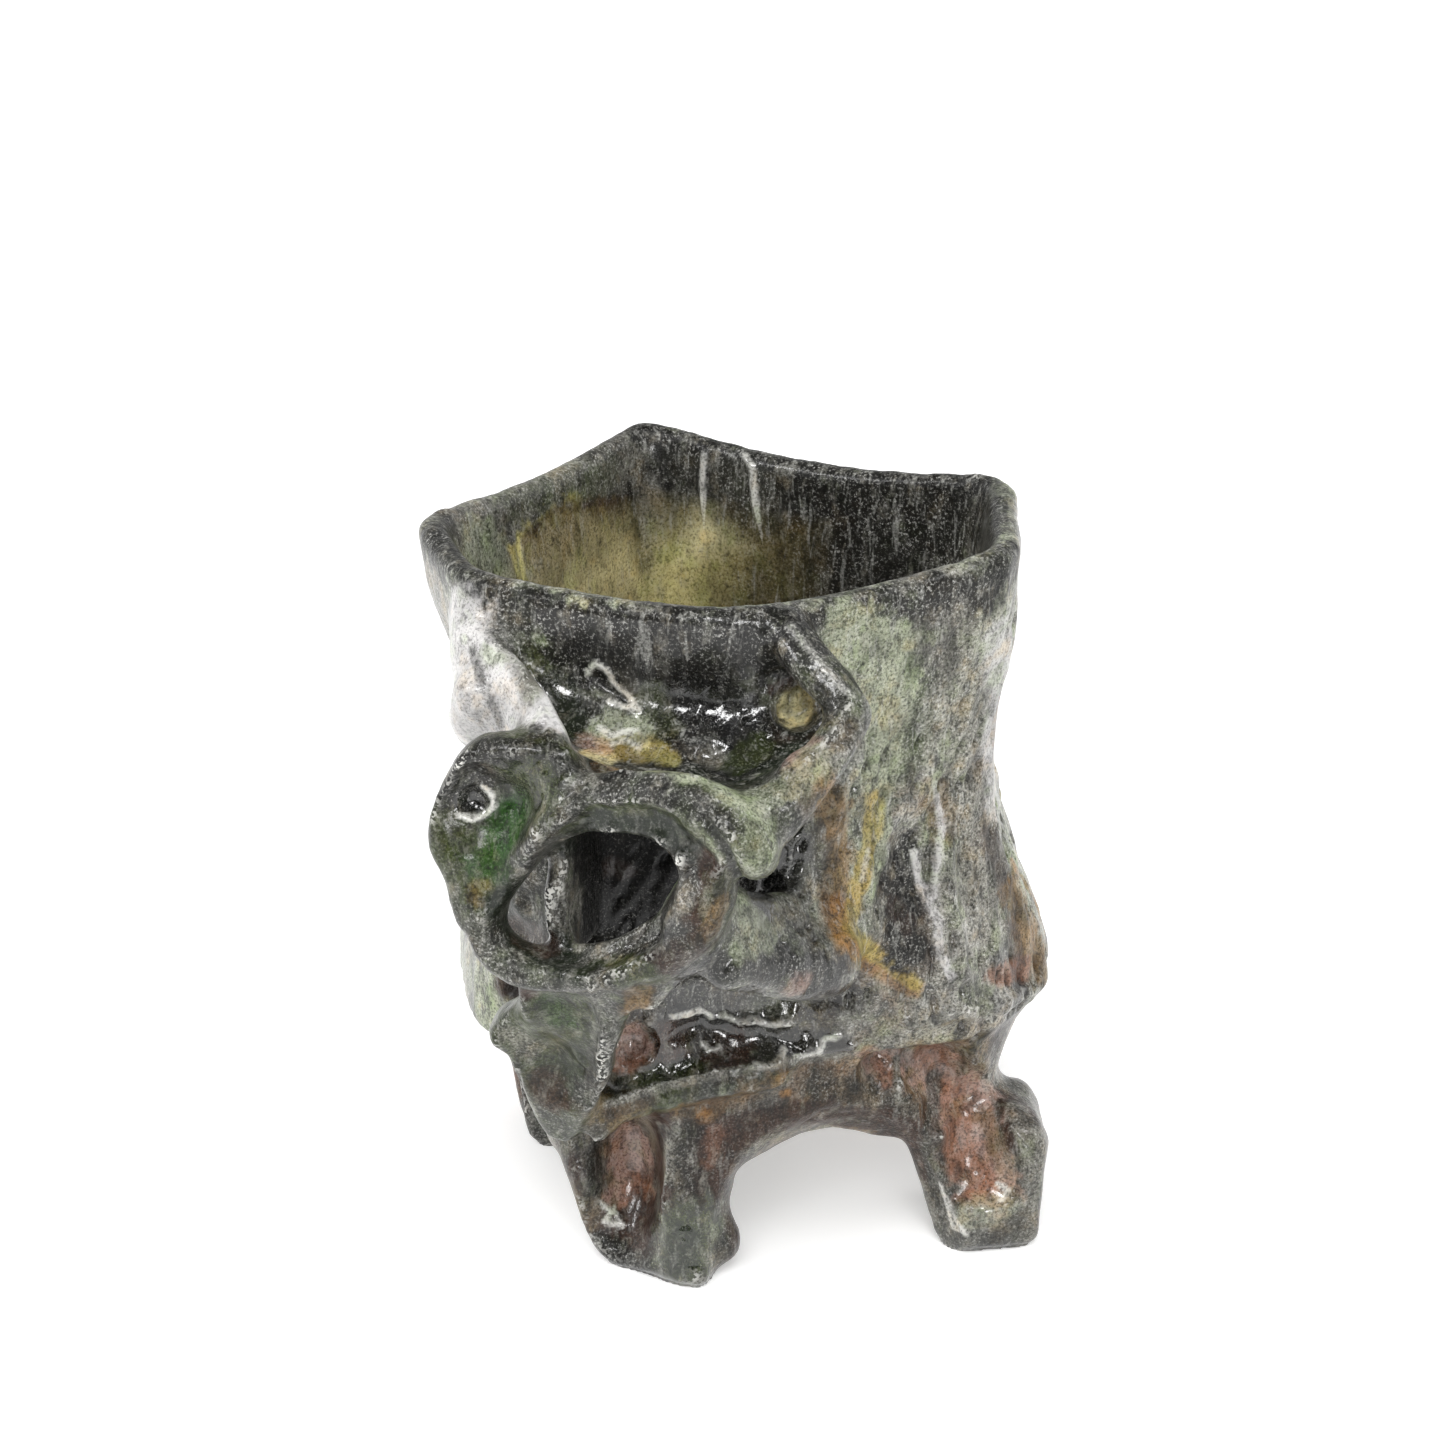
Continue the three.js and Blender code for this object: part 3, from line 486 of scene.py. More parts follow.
def under_stroke(place, normal, points, reach, tree, stride):
    """Which vertices a stroke reaches, how far each is from its line, and the way it faces."""
    spots, ways = followed(points, tree, stride)
    near = np.flatnonzero(
        ((place > spots.min(0) - reach) & (place < spots.max(0) + reach)).all(1))
    p, n = place[near], normal[near]
    away = np.full(len(p), np.inf)
    for a, b, way in zip(spots, [*spots[1:], spots[-1]], ways):
        if np.linalg.norm(b - a) > JUMP * stride:
            b = a
        low, high = np.minimum(a, b) - reach, np.maximum(a, b) + reach
        box = np.flatnonzero(((p > low) & (p < high)).all(1) & (n @ way > SAME_WAY))
        length = max((b - a) @ (b - a), NO_LENGTH)
        along = np.clip(((p[box] - a) @ (b - a)) / length, 0, 1)
        apart = np.linalg.norm(p[box] - a - along[:, None] * (b - a), axis=1)
        away[box] = np.minimum(away[box], apart)
    inside = away < reach
    way = ways.sum(0)
    return near[inside], away[inside], way / (np.linalg.norm(way) + NO_LENGTH)


def knead(clay, strokes, wobble, seed, stride):
    """Presses into the clay, or raises it where the depth is negative."""
    tree = clay.tree()
    normal = clay.normals()
    uneven = 1 + wobble * noise(clay.place, WOBBLE_SIZE, seed, 2)
    moved = np.zeros_like(clay.place)
    for profile, points, radius, depth in strokes:
        near, away, way = under_stroke(
            clay.place, normal, points, radius * (1 + wobble), tree, stride)
        t = np.clip(away / (radius * uneven[near]), 0, 1)
        fall = {"bowl": 1 - t * t, "soft": (1 - t * t) ** 2, "crease": (1 - t) ** 2}[profile]
        moved[near] -= way * (depth * fall)[:, None]
    clay.place += moved


def from_axis(place, normal):
    """Each vertex's way out from the cup's axis, its distance in mm, and how much it faces out."""
    flat = place[:, :2] - CUP_AXIS
    out = np.linalg.norm(flat, axis=1)
    return flat, out, (flat * normal[:, :2]).sum(1) / (out + NO_LENGTH)


# Where forms fade in and out, in mm above the table and mm out from the cup's axis.
WALL_FROM, WALL_TO, WALL_OUT = (34, 42), (104, 110), (26, 34)
DECK_FROM, DECK_TO = (22, 27), (34, 44)
SHELF_FROM, SHELF_TO = (38, 40), (48, 54)
RIM_FROM = (100, 106)
INSIDE_FROM, INSIDE_OUT, INSIDE_TO = (40, 46), (10, 16), (42, 50)
SIDES = (24, 30)  # and mm to either side of the middle of the front
# How much the clay faces out, or up, between not at all and fully.
FACES_OUT, FACES_UP, FACES_FRONT = (0.2, 0.6), (0.3, 0.8), (0.2, 0.7)

WAIST = 64  # mm above the table, where the cup is narrowest
SLANT = 0.5  # the runs of glaze slant this much above the waist, and hang straight below it
DRAWN_DOWN = 4.5  # how many times longer than wide the runs are
RIGHT_WAY = np.array([1.0, -0.25])  # the side of the wall where the glaze ran most
LEFT_SHARE = 0.35  # how deep the runs still are on the other side
PIT_SPACING = 2.2  # mm between the pits in the runs
PIT_DEPTH = 1.8  # of a pit, in depths of a run
FRONT_MIDDLE = 2  # mm to the right, the middle of the shelf
FOLDS = 0.55  # mm, the folds on the shelf
POCK_SPACING, POCK_DEPTH, RIM_LUMPS = 1.6, 0.12, 0.10  # mm, on top of the rim


def wall_runs(p, flat, out, facing, depth):
    """The runs and pits of the glaze on the outside of the cup: their height in mm, and how
    far each vertex lies on a crest of them, or in a trough below 0."""
    # from the belly up to under the rim, on what faces out
    wall = step(*WALL_OUT, out) * step(*FACES_OUT, facing) * step(*WALL_FROM, p[:, 2])
    wall *= 1 - step(*WALL_TO, p[:, 2])
    right = step(-0.75, 0.1, (flat @ RIGHT_WAY) / (out + NO_LENGTH))
    run = p.copy()
    run[:, 0] -= SLANT * np.maximum(p[:, 2] - WAIST, 0)
    run = run / (1.0, 1.0, DRAWN_DOWN)
    streaks = depth * wall * (LEFT_SHARE + (1 - LEFT_SHARE) * right)
    uneven = 0.25 + 0.75 * step(-0.3, 0.4, noise(p, 16, 23))
    runs = noise(run, 4.2, 21) + 0.6 * noise(run, 1.9, 22) + 0.35 * noise(run, 1.2, 24)
    height = streaks * uneven * runs
    crest = wall * (LEFT_SHARE + (1 - LEFT_SHARE) * right) * uneven * runs
    # pits between the runs
    rough = np.flatnonzero(streaks * right > 0.02)
    grain = pits(run[rough] * (1, 1, 1.8), PIT_SPACING, 31)
    pitted = (uneven * right)[rough] * (1 - step(0.14, 0.42, grain))
    height[rough] -= PIT_DEPTH * streaks[rough] * pitted
    crest[rough] -= 0.5 * wall[rough] * pitted
    return height, crest


def shelf_folds(p, flat, out):
    """The height in mm of the folds of thick glaze on the deck and on the shelf over it."""
    on_deck = (1 - step(*DECK_TO, p[:, 2])) * step(*DECK_FROM, p[:, 2])
    on_shelf = step(*SHELF_FROM, p[:, 2]) * (1 - step(*SHELF_TO, p[:, 2]))
    in_front = step(*FACES_FRONT, -flat[:, 1] / (out + NO_LENGTH))
    in_front *= 1 - step(*SIDES, np.abs(p[:, 0] - FRONT_MIDDLE))
    folds = np.abs(noise(p, 5.5, 41, 3)) * 2 - 0.5
    return FOLDS * ((on_deck + on_shelf) * in_front) * folds


def textured(clay, settings):
    """The unevenness that hands, tools and a crawling glaze leave. It returns how far each
    vertex lies on a crest of the runs, or in a trough below 0."""
    p, normal = clay.place, clay.normals()
    flat, out, facing = from_axis(p, normal)
    lumps = settings.lumps / MM
    height = lumps * noise(p, 15, 11, 2) + 0.3 * lumps * noise(p, 4, 12, 2)
    runs, crest = wall_runs(p, flat, out, facing, settings.streaks / MM)
    height += runs + shelf_folds(p, flat, out)
    # the inside of the cup is smoother
    inside = (step(*FACES_OUT, -facing) * step(*INSIDE_FROM, p[:, 2])
              * step(*INSIDE_OUT, out) * (1 - step(*INSIDE_TO, out)))
    height *= 1 - 0.7 * inside
    # the top of the rim is uneven and pocked
    rim = step(*FACES_UP, normal[:, 2]) * step(*RIM_FROM, p[:, 2])
    lip = np.flatnonzero(rim > 0.05)
    pocks = 1 - step(0.1, 0.4, pits(p[lip], POCK_SPACING, 52))
    height[lip] += rim[lip] * (RIM_LUMPS * noise(p[lip], 2.6, 51, 2) - POCK_DEPTH * pocks)
    clay.place = p + normal * height[:, None]
    return crest


RIDGE_MOST, HOLLOW_MOST = 0.6, 0.5  # mm of a ridge and of a hollow that a pinch works on at most


def drawn_out(clay, amount):
    """Pinches the ridges so that they end in crisp edges, and the hollows a quarter as much."""
    normal = clay.normals()
    proud = clay.proud_of(clay.eased(clay.place, 14))
    lift = amount * np.clip(proud, 0, RIDGE_MOST)
    lift -= 0.25 * amount * np.clip(-proud, 0, HOLLOW_MOST)
    clay.place += normal * lift[:, None]


def relief(clay):
    """How much each vertex is ridge, and how much hollow, from 0 to 1. It goes by how far, in
    mm, the clay stands out from a softer copy of itself."""
    soft = clay.eased(clay.place, 7)
    fine = clay.proud_of(soft)
    broad = clay.proud_of(clay.eased(soft, 40))
    ridge = np.maximum(step(0.14, 0.42, fine), 0.35 * step(0.6, 1.4, broad))
    hollow = np.maximum(step(0.04, 0.25, -fine), step(0.2, 1.2, -broad))
    return clay.eased(ridge, 1), clay.eased(hollow, 2)


NODES = sorted(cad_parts)


def nearest_parts(clay):
    """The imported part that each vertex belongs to, as one column of ones for each part."""
    corners, faces, owner = [], [], []
    for index, part in enumerate(NODES):
        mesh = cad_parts[part].data
        start = len(corners)
        corners += [v.co / MM for v in mesh.vertices]
        for face in mesh.polygons:
            faces.append([start + v for v in face.vertices])
            owner.append(index)
    tree = BVHTree.FromPolygons(corners, faces)
    found = np.array([owner[tree.find_nearest(Vector(p))[2]] for p in clay.place.tolist()])
    share = np.zeros((len(found), len(NODES)), np.float32)
    share[np.arange(len(found)), found] = 1
    return share


BELLY_CUT = 38.0  # mm above the table, where the cup's wall is cut from the deck
LEG_CUT = 19.2  # and where the legs are cut from the deck


def face_pairs(faces):
    """Which faces share an edge."""
    ends = np.stack([faces, np.roll(faces, -1, axis=1)], axis=2).reshape(-1, 2)
    ends = np.sort(ends, axis=1).astype(np.int64)
    key = ends[:, 0] * (faces.max() + 1) + ends[:, 1]
    order = np.argsort(key, kind="stable")
    twin = np.flatnonzero(key[order][1:] == key[order][:-1])
    return np.stack([order[twin], order[twin + 1]], axis=1) // 4


def islands(owner, pairs):
    """A mark for each face, shared by the faces of one part that hang together."""
    same = pairs[owner[pairs[:, 0]] == owner[pairs[:, 1]]]
    mark = np.arange(len(owner))
    while True:
        low = mark[same].min(1)
        lower = mark.copy()
        np.minimum.at(lower, same[:, 0], low)
        np.minimum.at(lower, same[:, 1], low)
        lower = lower[lower]
        if (lower == mark).all():
            return mark
        mark = lower


def owners(clay, weight):
    """Which part each face belongs to. The cuts under the cup and over the legs are level, and
    a stray patch goes to the part around it."""
    owner = weight[clay.faces].sum(1).argmax(1).astype(np.int32)
    middle = clay.place[clay.faces].mean(1)
    wall, deck = NODES.index("cup_wall"), NODES.index("foot_deck")
    legs = [index for index, name in enumerate(NODES) if name.endswith("_leg")]
    spots = np.array([[(a + b) / 2 / MM for a, b in zip(*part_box(NODES[leg]))][:2] for leg in legs])
    away = np.linalg.norm(middle[:, None, :2] - spots[None], axis=2)
    nearest_leg = np.array(legs)[away.argmin(1)]
    body = np.isin(owner, [wall, deck, *legs])
    owner[body & (middle[:, 2] > BELLY_CUT)] = wall
    owner[body & (middle[:, 2] <= BELLY_CUT)] = deck
    low = body & (middle[:, 2] <= LEG_CUT)
    owner[low] = nearest_leg[low]
    pairs = face_pairs(clay.faces)
    mark = islands(owner, pairs)
    size = np.bincount(mark, minlength=len(owner))
    stray = np.ones(len(owner), bool)
    for index in range(len(NODES)):
        own = mark[owner == index]
        stray[mark == own[size[own].argmax()]] = False
    while stray.any():
        for here, there in (pairs.T, pairs.T[::-1]):
            taken = stray[here] & ~stray[there]
            owner[here[taken]] = owner[there[taken]]
            stray[here[taken]] = False
    return owner


# The glaze, laid on in listed strokes

# The glaze of each part before the brush: its colour, the two that it breaks into, and how
# even it lies.
FIRST_COAT = {
    "cup_wall": ("ash", "celadon", "slate", 0.1),
    "cup_floor": ("olive", "olive", "moss", 0.6),
    "foot_deck": ("ash", "ochre", "umber", 0.1),
    "thumb_rest": ("charcoal", "bottle", "black_glaze_and_shade", 0.2),
    "rear_brace": ("ash", "slate", "charcoal", 0.2),
    "finger_ring": ("slate", "charcoal", "ash", 0.2),
    "rim_strap": ("charcoal", "slate", "moss", 0.2),
    # the fold's pale coat is pale glaze brightened as painted light on the lit left side
    "left_fold": ("pale_glaze_and_painted_light", "pale_glaze_and_painted_light", "ash", 0.8),
    "side_arm": ("slate", "celadon", "moss", 0.3),
    "knuckle_lobe": ("slate", "celadon", "moss", 0.3),
    "upper_wing": ("charcoal", "moss", "bottle", 0.3),
    "lower_wing": ("moss", "slate", "ash", 0.2),
    "lower_sill": ("moss", "bottle", "slate", 0.2),
    "front_left_leg": ("slate", "ash", "umber", 0.3),
    "front_right_leg": ("slate", "ash", "umber", 0.3),
    "back_left_leg": ("slate", "rust", "umber", 0.3),
    "back_right_leg": ("slate", "rust", "umber", 0.3),
}

# How even each colour lies: 0 breaks up into the mottle, 1 is as smooth as enamel.
CALM = {"painted_lit_khaki": 0.65, "olive": 0.6, "rose": 0.42, "rust": 0.35, "pale_glaze_and_painted_light": 0.6, "straw": 0.4,
        "amber": 0.4, "copper": 0.35, "celadon": 0.3, "black_glaze_and_shade": 0.9, "moss": 0.2, "umber": 0.35,
        "ochre": 0.3, "bottle": 0.5, "ash": 0.2, "slate": 0.2, "charcoal": 0.2, "frost_and_highlight": 0.6}

# (colour, points, radius mm, strength, gloss)
BRUSH = [
    # inside the cup
    ("ash", [(470, 545), (520, 505), (570, 478), (620, 458)], 7, 0.6, 0.3),
    ("moss", [(520, 500), (560, 490), (600, 480)], 5, 0.4, 0.3),
    ("celadon", [(452, 562), (490, 548)], 5, 0.55, 0.3),
    ("ash", [(640, 458), (648, 505)], 3.6, 0.6, 0.5),
    ("slate", [(700, 470), (780, 480)], 9, 0.6, 0.4),
    ("charcoal", [(830, 490), (900, 520), (985, 550)], 12, 0.8, 0.2),
    ("olive", [(535, 560), (570, 545), (640, 540), (700, 548), (760, 560), (800, 564)], 7, 0.95,
     0.3),
    # painted light: the lit copy of the olive glaze where the light reaches the floor and low wall
    # of the cup
    ("painted_lit_khaki", [(540, 566), (570, 556), (610, 552), (660, 558), (700, 570)], 7, 1.0, 0.3),
    ("painted_lit_khaki", [(575, 580), (640, 584)], 6, 1.0, 0.3),
    ("olive", [(640, 570), (700, 574), (740, 574)], 5, 0.7, 0.3),
    ("umber", [(530, 540), (556, 521), (586, 511), (633, 508)], 2.6, 0.8, 0.1),
    ("umber", [(757, 521), (807, 540), (838, 556)], 2.8, 0.8, 0.1),
    # painted reflections: two thin pale runs down the inside of the back wall, over raised drips
    ("frost_and_highlight", [(704, 455), (702, 482), (704, 528)], 0.7, 0.9, 1.0),
    ("frost_and_highlight", [(742, 450), (752, 468), (756, 518)], 0.7, 0.7, 1.0),
    # rim
    ("charcoal", [(430, 530), (450, 575), (500, 606), (560, 622), (640, 634), (720, 642)],
     4.2, 0.95, 0.1),
    ("charcoal", [(1010, 560), (985, 590), (920, 605), (860, 612), (810, 625)], 5.0, 0.95, 0.1),
    ("charcoal", [(560, 455), (610, 428), (640, 424)], 2.6, 0.6, 0.1),
    ("charcoal", [(640, 430), (760, 450), (880, 468), (980, 478)], 3.0, 0.95, 0.1),
    # right side of the wall
    ("celadon", [(850, 640), (885, 660), (905, 700), (890, 760)], 6.5, 0.8, 0.1),
    # painted light: a pale band along the right edge of the wall, where it catches the light of the
    # white surroundings
    ("pale_glaze_and_painted_light", [(1000, 640), (1003, 720), (992, 800)], 4.5, 0.7, 0.2),
    ("ash", [(950, 640), (960, 720), (965, 800)], 6, 0.6, 0.0),
    ("slate", [(930, 690), (915, 740), (905, 790)], 2.6, 0.5, 0.0),
    ("moss", [(925, 720), (912, 770)], 2.4, 0.4, 0.0),
    ("ochre", [(930, 790), (948, 830)], 3.0, 0.5, 0.0),
    ("rose", [(805, 755), (820, 800)], 4.0, 0.5, 0.1),
    ("ochre", [(812, 775), (833, 813), (841, 862), (837, 911), (850, 952)], 3.6, 0.9, 0.1),
    ("umber", [(812, 830), (822, 880), (824, 930)], 1.6, 0.5, 0.1),
    ("ash", [(820, 700), (850, 730), (830, 760)], 3.0, 0.5, 0.1),
    ("celadon", [(882, 772), (884, 830), (872, 890)], 1.4, 0.8, 0.1),
    ("straw", [(874, 800), (872, 830), (864, 866), (854, 895), (850, 928), (870, 955)],
     2.2, 0.7, 0.1),
    ("amber", [(838, 900), (842, 935), (862, 960), (915, 990)], 1.8, 0.5, 0.1),
    ("straw", [(860, 945), (890, 964), (914, 984)], 1.5, 0.7, 0.1),
    ("pale_glaze_and_painted_light", [(868, 850), (862, 880)], 0.6, 0.4, 0.1),
    ("slate", [(788, 800), (800, 850), (795, 900), (800, 960), (830, 985)], 5.0, 0.75, 0.3),
    ("rose", [(788, 985)], 2.2, 0.5, 0.3),
    # painted shade: near-black in the cavity right of the ring, where the clay is pressed in
    ("black_glaze_and_shade", [(760, 880), (762, 905)], 4.0, 0.95, 0.8),
    ("black_glaze_and_shade", [(790, 845), (786, 862), (778, 884)], 3.6, 0.85, 1.0),
    ("charcoal", [(903, 860), (900, 905), (905, 950)], 4.4, 1.0, 0.0),
    ("umber", [(893, 905), (908, 925)], 2.0, 0.5, 0.0),
    ("ash", [(975, 800), (978, 860), (985, 930)], 5.0, 0.7, 0.0),
    # painted highlights: pale lines along the two ridges of the right wall, over raised creases
    ("pale_glaze_and_painted_light", [(915, 854), (921, 887), (938, 920), (940, 952), (952, 977)], 0.9, 0.8, 0.0),
    ("pale_glaze_and_painted_light", [(936, 784), (942, 830), (936, 866), (934, 895)], 0.8, 0.8, 0.0),
    ("umber", [(985, 835), (1000, 860), (1012, 900)], 2.8, 0.6, 0.0),
    ("ochre", [(1012, 890), (1030, 930), (1038, 965)], 4.0, 0.8, 0.1),
    ("umber", [(1010, 925), (1015, 955)], 2.4, 0.5, 0.0),
    ("amber", [(1012, 862), (1030, 890), (1044, 920)], 0.9, 0.5, 0.1),
    ("rust", [(995, 975), (1025, 968)], 2.2, 0.8, 0.1),
    # left side of the wall and the fold
    # painted light: the pale left side of the wall, where it catches the light of the white
    # surroundings
    ("pale_glaze_and_painted_light", [(455, 620), (478, 680), (495, 720)], 6, 0.9, 0.3),
    ("slate", [(472, 650), (486, 690), (500, 725)], 0.9, 0.5, 0.1),
    ("ash", [(500, 640), (530, 700)], 1.2, 0.5, 0.1),
    ("slate", [(510, 640), (535, 660)], 4.0, 0.8, 0.1),
    ("moss", [(540, 660), (556, 700), (568, 728)], 3.4, 0.85, 0.3),
    # shelf and sill
    # painted shadow: dark strokes on the shelf under the ring, where the ring shades it
    ("charcoal", [(680, 985), (740, 975), (800, 985), (850, 1010)], 6.5, 0.8, 0.5),
    ("charcoal", [(690, 970), (760, 962), (820, 978), (845, 1000)], 3.6, 0.75, 0.4),
    ("rose", [(798, 988)], 2.6, 0.4, 0.4),
    ("umber", [(790, 1003)], 2.0, 0.5, 0.3),
    ("charcoal", [(680, 1000), (740, 1004), (800, 1012)], 3.0, 0.7, 1.0),
    ("black_glaze_and_shade", [(671, 1022), (705, 1024), (760, 1036), (800, 1044), (836, 1046)], 3.6, 0.95, 1.0),
    ("umber", [(660, 1050), (700, 1056), (735, 1060)], 4.6, 1.0, 0.8),
    ("bottle", [(700, 1044)], 2.4, 0.6, 0.9),
    ("black_glaze_and_shade", [(765, 1060), (790, 1060)], 2.6, 0.9, 1.0),
    # painted highlights: thin pale lines along the wet lips on the shelf
    ("frost_and_highlight", [(674, 1018), (687, 1015), (699, 1011), (710, 1018)], 0.7, 0.9, 1.0),
    ("frost_and_highlight", [(722, 1016), (738, 1022), (756, 1020), (770, 1026), (788, 1023)], 0.6, 0.8, 1.0),
    ("frost_and_highlight", [(754, 1066), (768, 1067), (782, 1059), (784, 1049)], 0.7, 0.9, 1.0),
    ("frost_and_highlight", [(796, 1057), (818, 1056), (825, 1040), (839, 1036)], 0.6, 0.8, 1.0),
    ("frost_and_highlight", [(703, 1043), (710, 1050), (720, 1047)], 0.5, 0.7, 1.0),
    ("ash", [(845, 1022), (870, 1015)], 3.4, 0.6, 0.3),
    ("rose", [(626, 1030), (632, 1050)], 3.4, 1.0, 0.6),
    ("rust", [(618, 1066), (640, 1066)], 1.8, 0.9, 0.3),
    ("bottle", [(620, 1090), (650, 1080), (690, 1070)], 2.6, 0.9, 0.7),
    ("moss", [(640, 1086), (700, 1072)], 2.2, 0.7, 0.5),
    ("umber", [(612, 1112), (650, 1098)], 1.6, 0.6, 0.3),
    ("ash", [(608, 1103), (660, 1088), (720, 1074), (790, 1062), (845, 1054)], 0.9, 0.8, 0.1),
    # the valley where the thumb rests
    ("charcoal", [(590, 640), (680, 650), (760, 640)], 9, 1.0, 0.35),
    ("black_glaze_and_shade", [(600, 660), (640, 690), (700, 690), (750, 680)], 5, 0.75, 0.25),
    ("bottle", [(556, 690), (570, 720)], 3, 0.9, 0.8),
    ("moss", [(650, 700), (668, 730)], 3, 0.5, 0.9),
    ("black_glaze_and_shade", [(700, 700), (740, 712), (745, 735), (730, 765)], 5.0, 1.0, 0.7),
    ("moss", [(760, 745), (735, 765)], 2.6, 0.6, 0.9),
    ("celadon", [(606, 726), (632, 734)], 3.0, 0.8, 1.0),
    ("straw", [(618, 748), (640, 754)], 3.0, 0.4, 0.9),
    ("olive", [(655, 750), (668, 760)], 2.0, 0.35, 0.9),
    ("painted_lit_khaki", [(590, 756), (604, 760)], 2.0, 0.5, 0.8),
    ("amber", [(600, 768), (610, 768)], 1.6, 0.5, 0.8),
    ("rose", [(586, 742), (600, 748)], 2.0, 0.5, 0.8),
    # painted highlights: thin pale marks in the wet valley
    ("frost_and_highlight", [(600, 728), (612, 736), (622, 732), (634, 730)], 0.6, 0.7, 1.0),
    ("frost_and_highlight", [(612, 744), (626, 740), (640, 748)], 0.5, 0.6, 1.0),
    ("moss", [(550, 745), (566, 760)], 3.0, 0.7, 0.5),
    ("ash", [(711, 758)], 2.2, 0.6, 0.6),
    # painted highlight: a pale loop on the rim of the blister in the valley
    ("frost_and_highlight", [(587, 674), (595, 664), (605, 670), (614, 684), (626, 694), (638, 709), (626, 707),
               (610, 701)], 0.5, 0.7, 1.0),
    # painted light and shade: a pale patch with a dark upper rim, pressed in, stands for the lit
    # wall seen through a hole in the valley floor
    ("painted_lit_khaki", [(797, 708)], 3.4, 1.0, 0.3),
    ("celadon", [(800, 704)], 3.0, 0.5, 0.3),
    ("umber", [(776, 690), (790, 685)], 1.4, 0.7, 0.4),
    ("charcoal", [(815, 660), (838, 690), (822, 720)], 2.4, 0.8, 0.4),
    # strap and knuckle
    ("celadon", [(745, 806), (790, 785), (815, 760)], 3.0, 0.45, 0.1),
    ("moss", [(770, 790), (790, 778)], 1.6, 0.4, 0.2),
    ("celadon", [(748, 850), (762, 862), (766, 840)], 3.0, 0.5, 0.1),
    ("moss", [(745, 845)], 2.0, 0.4, 0.1),
    ("charcoal", [(560, 762), (640, 782), (690, 795), (724, 818)], 1.8, 0.8, 0.3),
    # painted highlight: a thin pale line along the strap's edge
    ("frost_and_highlight", [(790, 625), (822, 665), (853, 697)], 0.5, 0.35, 0.2),
    # upper wing
    ("charcoal", [(455, 780), (480, 765), (530, 760)], 5.0, 0.9, 0.3),
    ("moss", [(530, 780), (545, 810)], 5, 0.9, 0.5),
    ("bottle", [(520, 835), (500, 870)], 3.4, 0.7, 0.5),
    ("moss", [(470, 850), (500, 850), (480, 880), (490, 910)], 5.4, 0.9, 0.2),
    ("copper", [(488, 868), (500, 846), (512, 820)], 4.4, 0.7, 0.3),
    ("copper", [(516, 812), (524, 800)], 2.4, 0.4, 0.4),
    ("copper", [(505, 838), (500, 852)], 2.0, 0.6, 0.4),
    ("ochre", [(482, 892)], 2.6, 0.45, 0.2),
    ("charcoal", [(466, 800), (484, 800)], 2.2, 0.9, 1.0),
    # painted highlight: a pale loop on the raised lip of the blister on the wing
    ("frost_and_highlight", [(459, 815), (473, 819), (485, 814), (493, 806), (492, 797), (482, 788)],
     0.6, 0.9, 1.0),
    # ring
    ("slate", [(505, 955), (500, 920), (525, 880), (560, 835), (590, 800), (650, 790), (700, 805)],
     3.0, 1.0, 0.1),
    ("charcoal", [(520, 885), (560, 832), (600, 800), (650, 792), (700, 806), (724, 830)], 2.0, 0.5,
     0.1),
    ("slate", [(480, 930), (490, 960), (540, 975)], 3.0, 0.8, 0.1),
    ("moss", [(585, 824), (596, 818), (640, 814), (680, 824)], 3.4, 1.0, 0.2),
    ("bottle", [(560, 845), (600, 826), (680, 834), (708, 862)], 3.2, 0.95, 0.3),
    ("bottle", [(506, 900), (512, 925), (528, 946), (560, 957)], 4.0, 1.0, 0.3),
    ("umber", [(512, 922), (525, 942), (550, 952)], 2.6, 0.6, 0.4),
    ("bottle", [(505, 900), (520, 880)], 2.0, 0.8, 0.3),
    ("charcoal", [(690, 930), (660, 950), (630, 972)], 3.4, 0.8, 0.4),
    ("umber", [(712, 868), (720, 900), (705, 925)], 3.4, 0.9, 0.1),
    ("moss", [(728, 885), (718, 925)], 3.4, 0.6, 0.1),
    ("ochre", [(722, 905), (712, 930)], 2.0, 0.5, 0.1),
    ("celadon", [(740, 905), (765, 935), (740, 950)], 2.6, 0.5, 0.1),
    ("umber", [(705, 945), (665, 968)], 3.4, 0.6, 0.1),
    ("umber", [(655, 972), (640, 992), (632, 1010)], 3.6, 0.6, 0.1),
    ("ochre", [(642, 990), (632, 1010)], 2.4, 0.7, 0.1),
    ("moss", [(590, 976), (620, 972), (648, 980)], 3.4, 0.95, 0.3),
    ("bottle", [(590, 972), (560, 972)], 2.4, 0.8, 0.4),
    ("black_glaze_and_shade", [(708, 826), (726, 850), (737, 874)], 0.9, 0.9, 0.3),
    # seen through the ring: the near-black strokes are painted shade on the cup's wall, which the
    # ring shades
    ("black_glaze_and_shade", [(590, 850), (630, 845), (665, 865)], 8.0, 1.0, 0.0),
    ("black_glaze_and_shade", [(600, 880), (640, 885), (662, 890)], 8.0, 1.0, 0.0),
    ("black_glaze_and_shade", [(595, 920), (635, 915)], 8.0, 1.0, 0.0),
    ("umber", [(612, 866), (625, 872)], 1.8, 0.5, 0.6),
    ("slate", [(538, 872), (545, 925)], 4.0, 1.0, 0.1),
    ("bottle", [(525, 928), (552, 945)], 4.0, 1.0, 0.4),
    ("ash", [(556, 862), (566, 900), (580, 945)], 1.4, 0.9, 0.2),
    ("umber", [(524, 932), (548, 944)], 3.0, 0.8, 0.5),
    # lower wing
    ("moss", [(556, 1000), (568, 1040), (566, 1080)], 6.4, 1.0, 0.2),
    ("bottle", [(575, 1050), (572, 1085)], 2.4, 0.5, 0.2),
    ("copper", [(553, 1000), (560, 1020)], 2.4, 0.35, 0.1),
    ("slate", [(596, 985), (608, 1030), (602, 1078), (585, 1104)], 2.8, 0.95, 0.1),
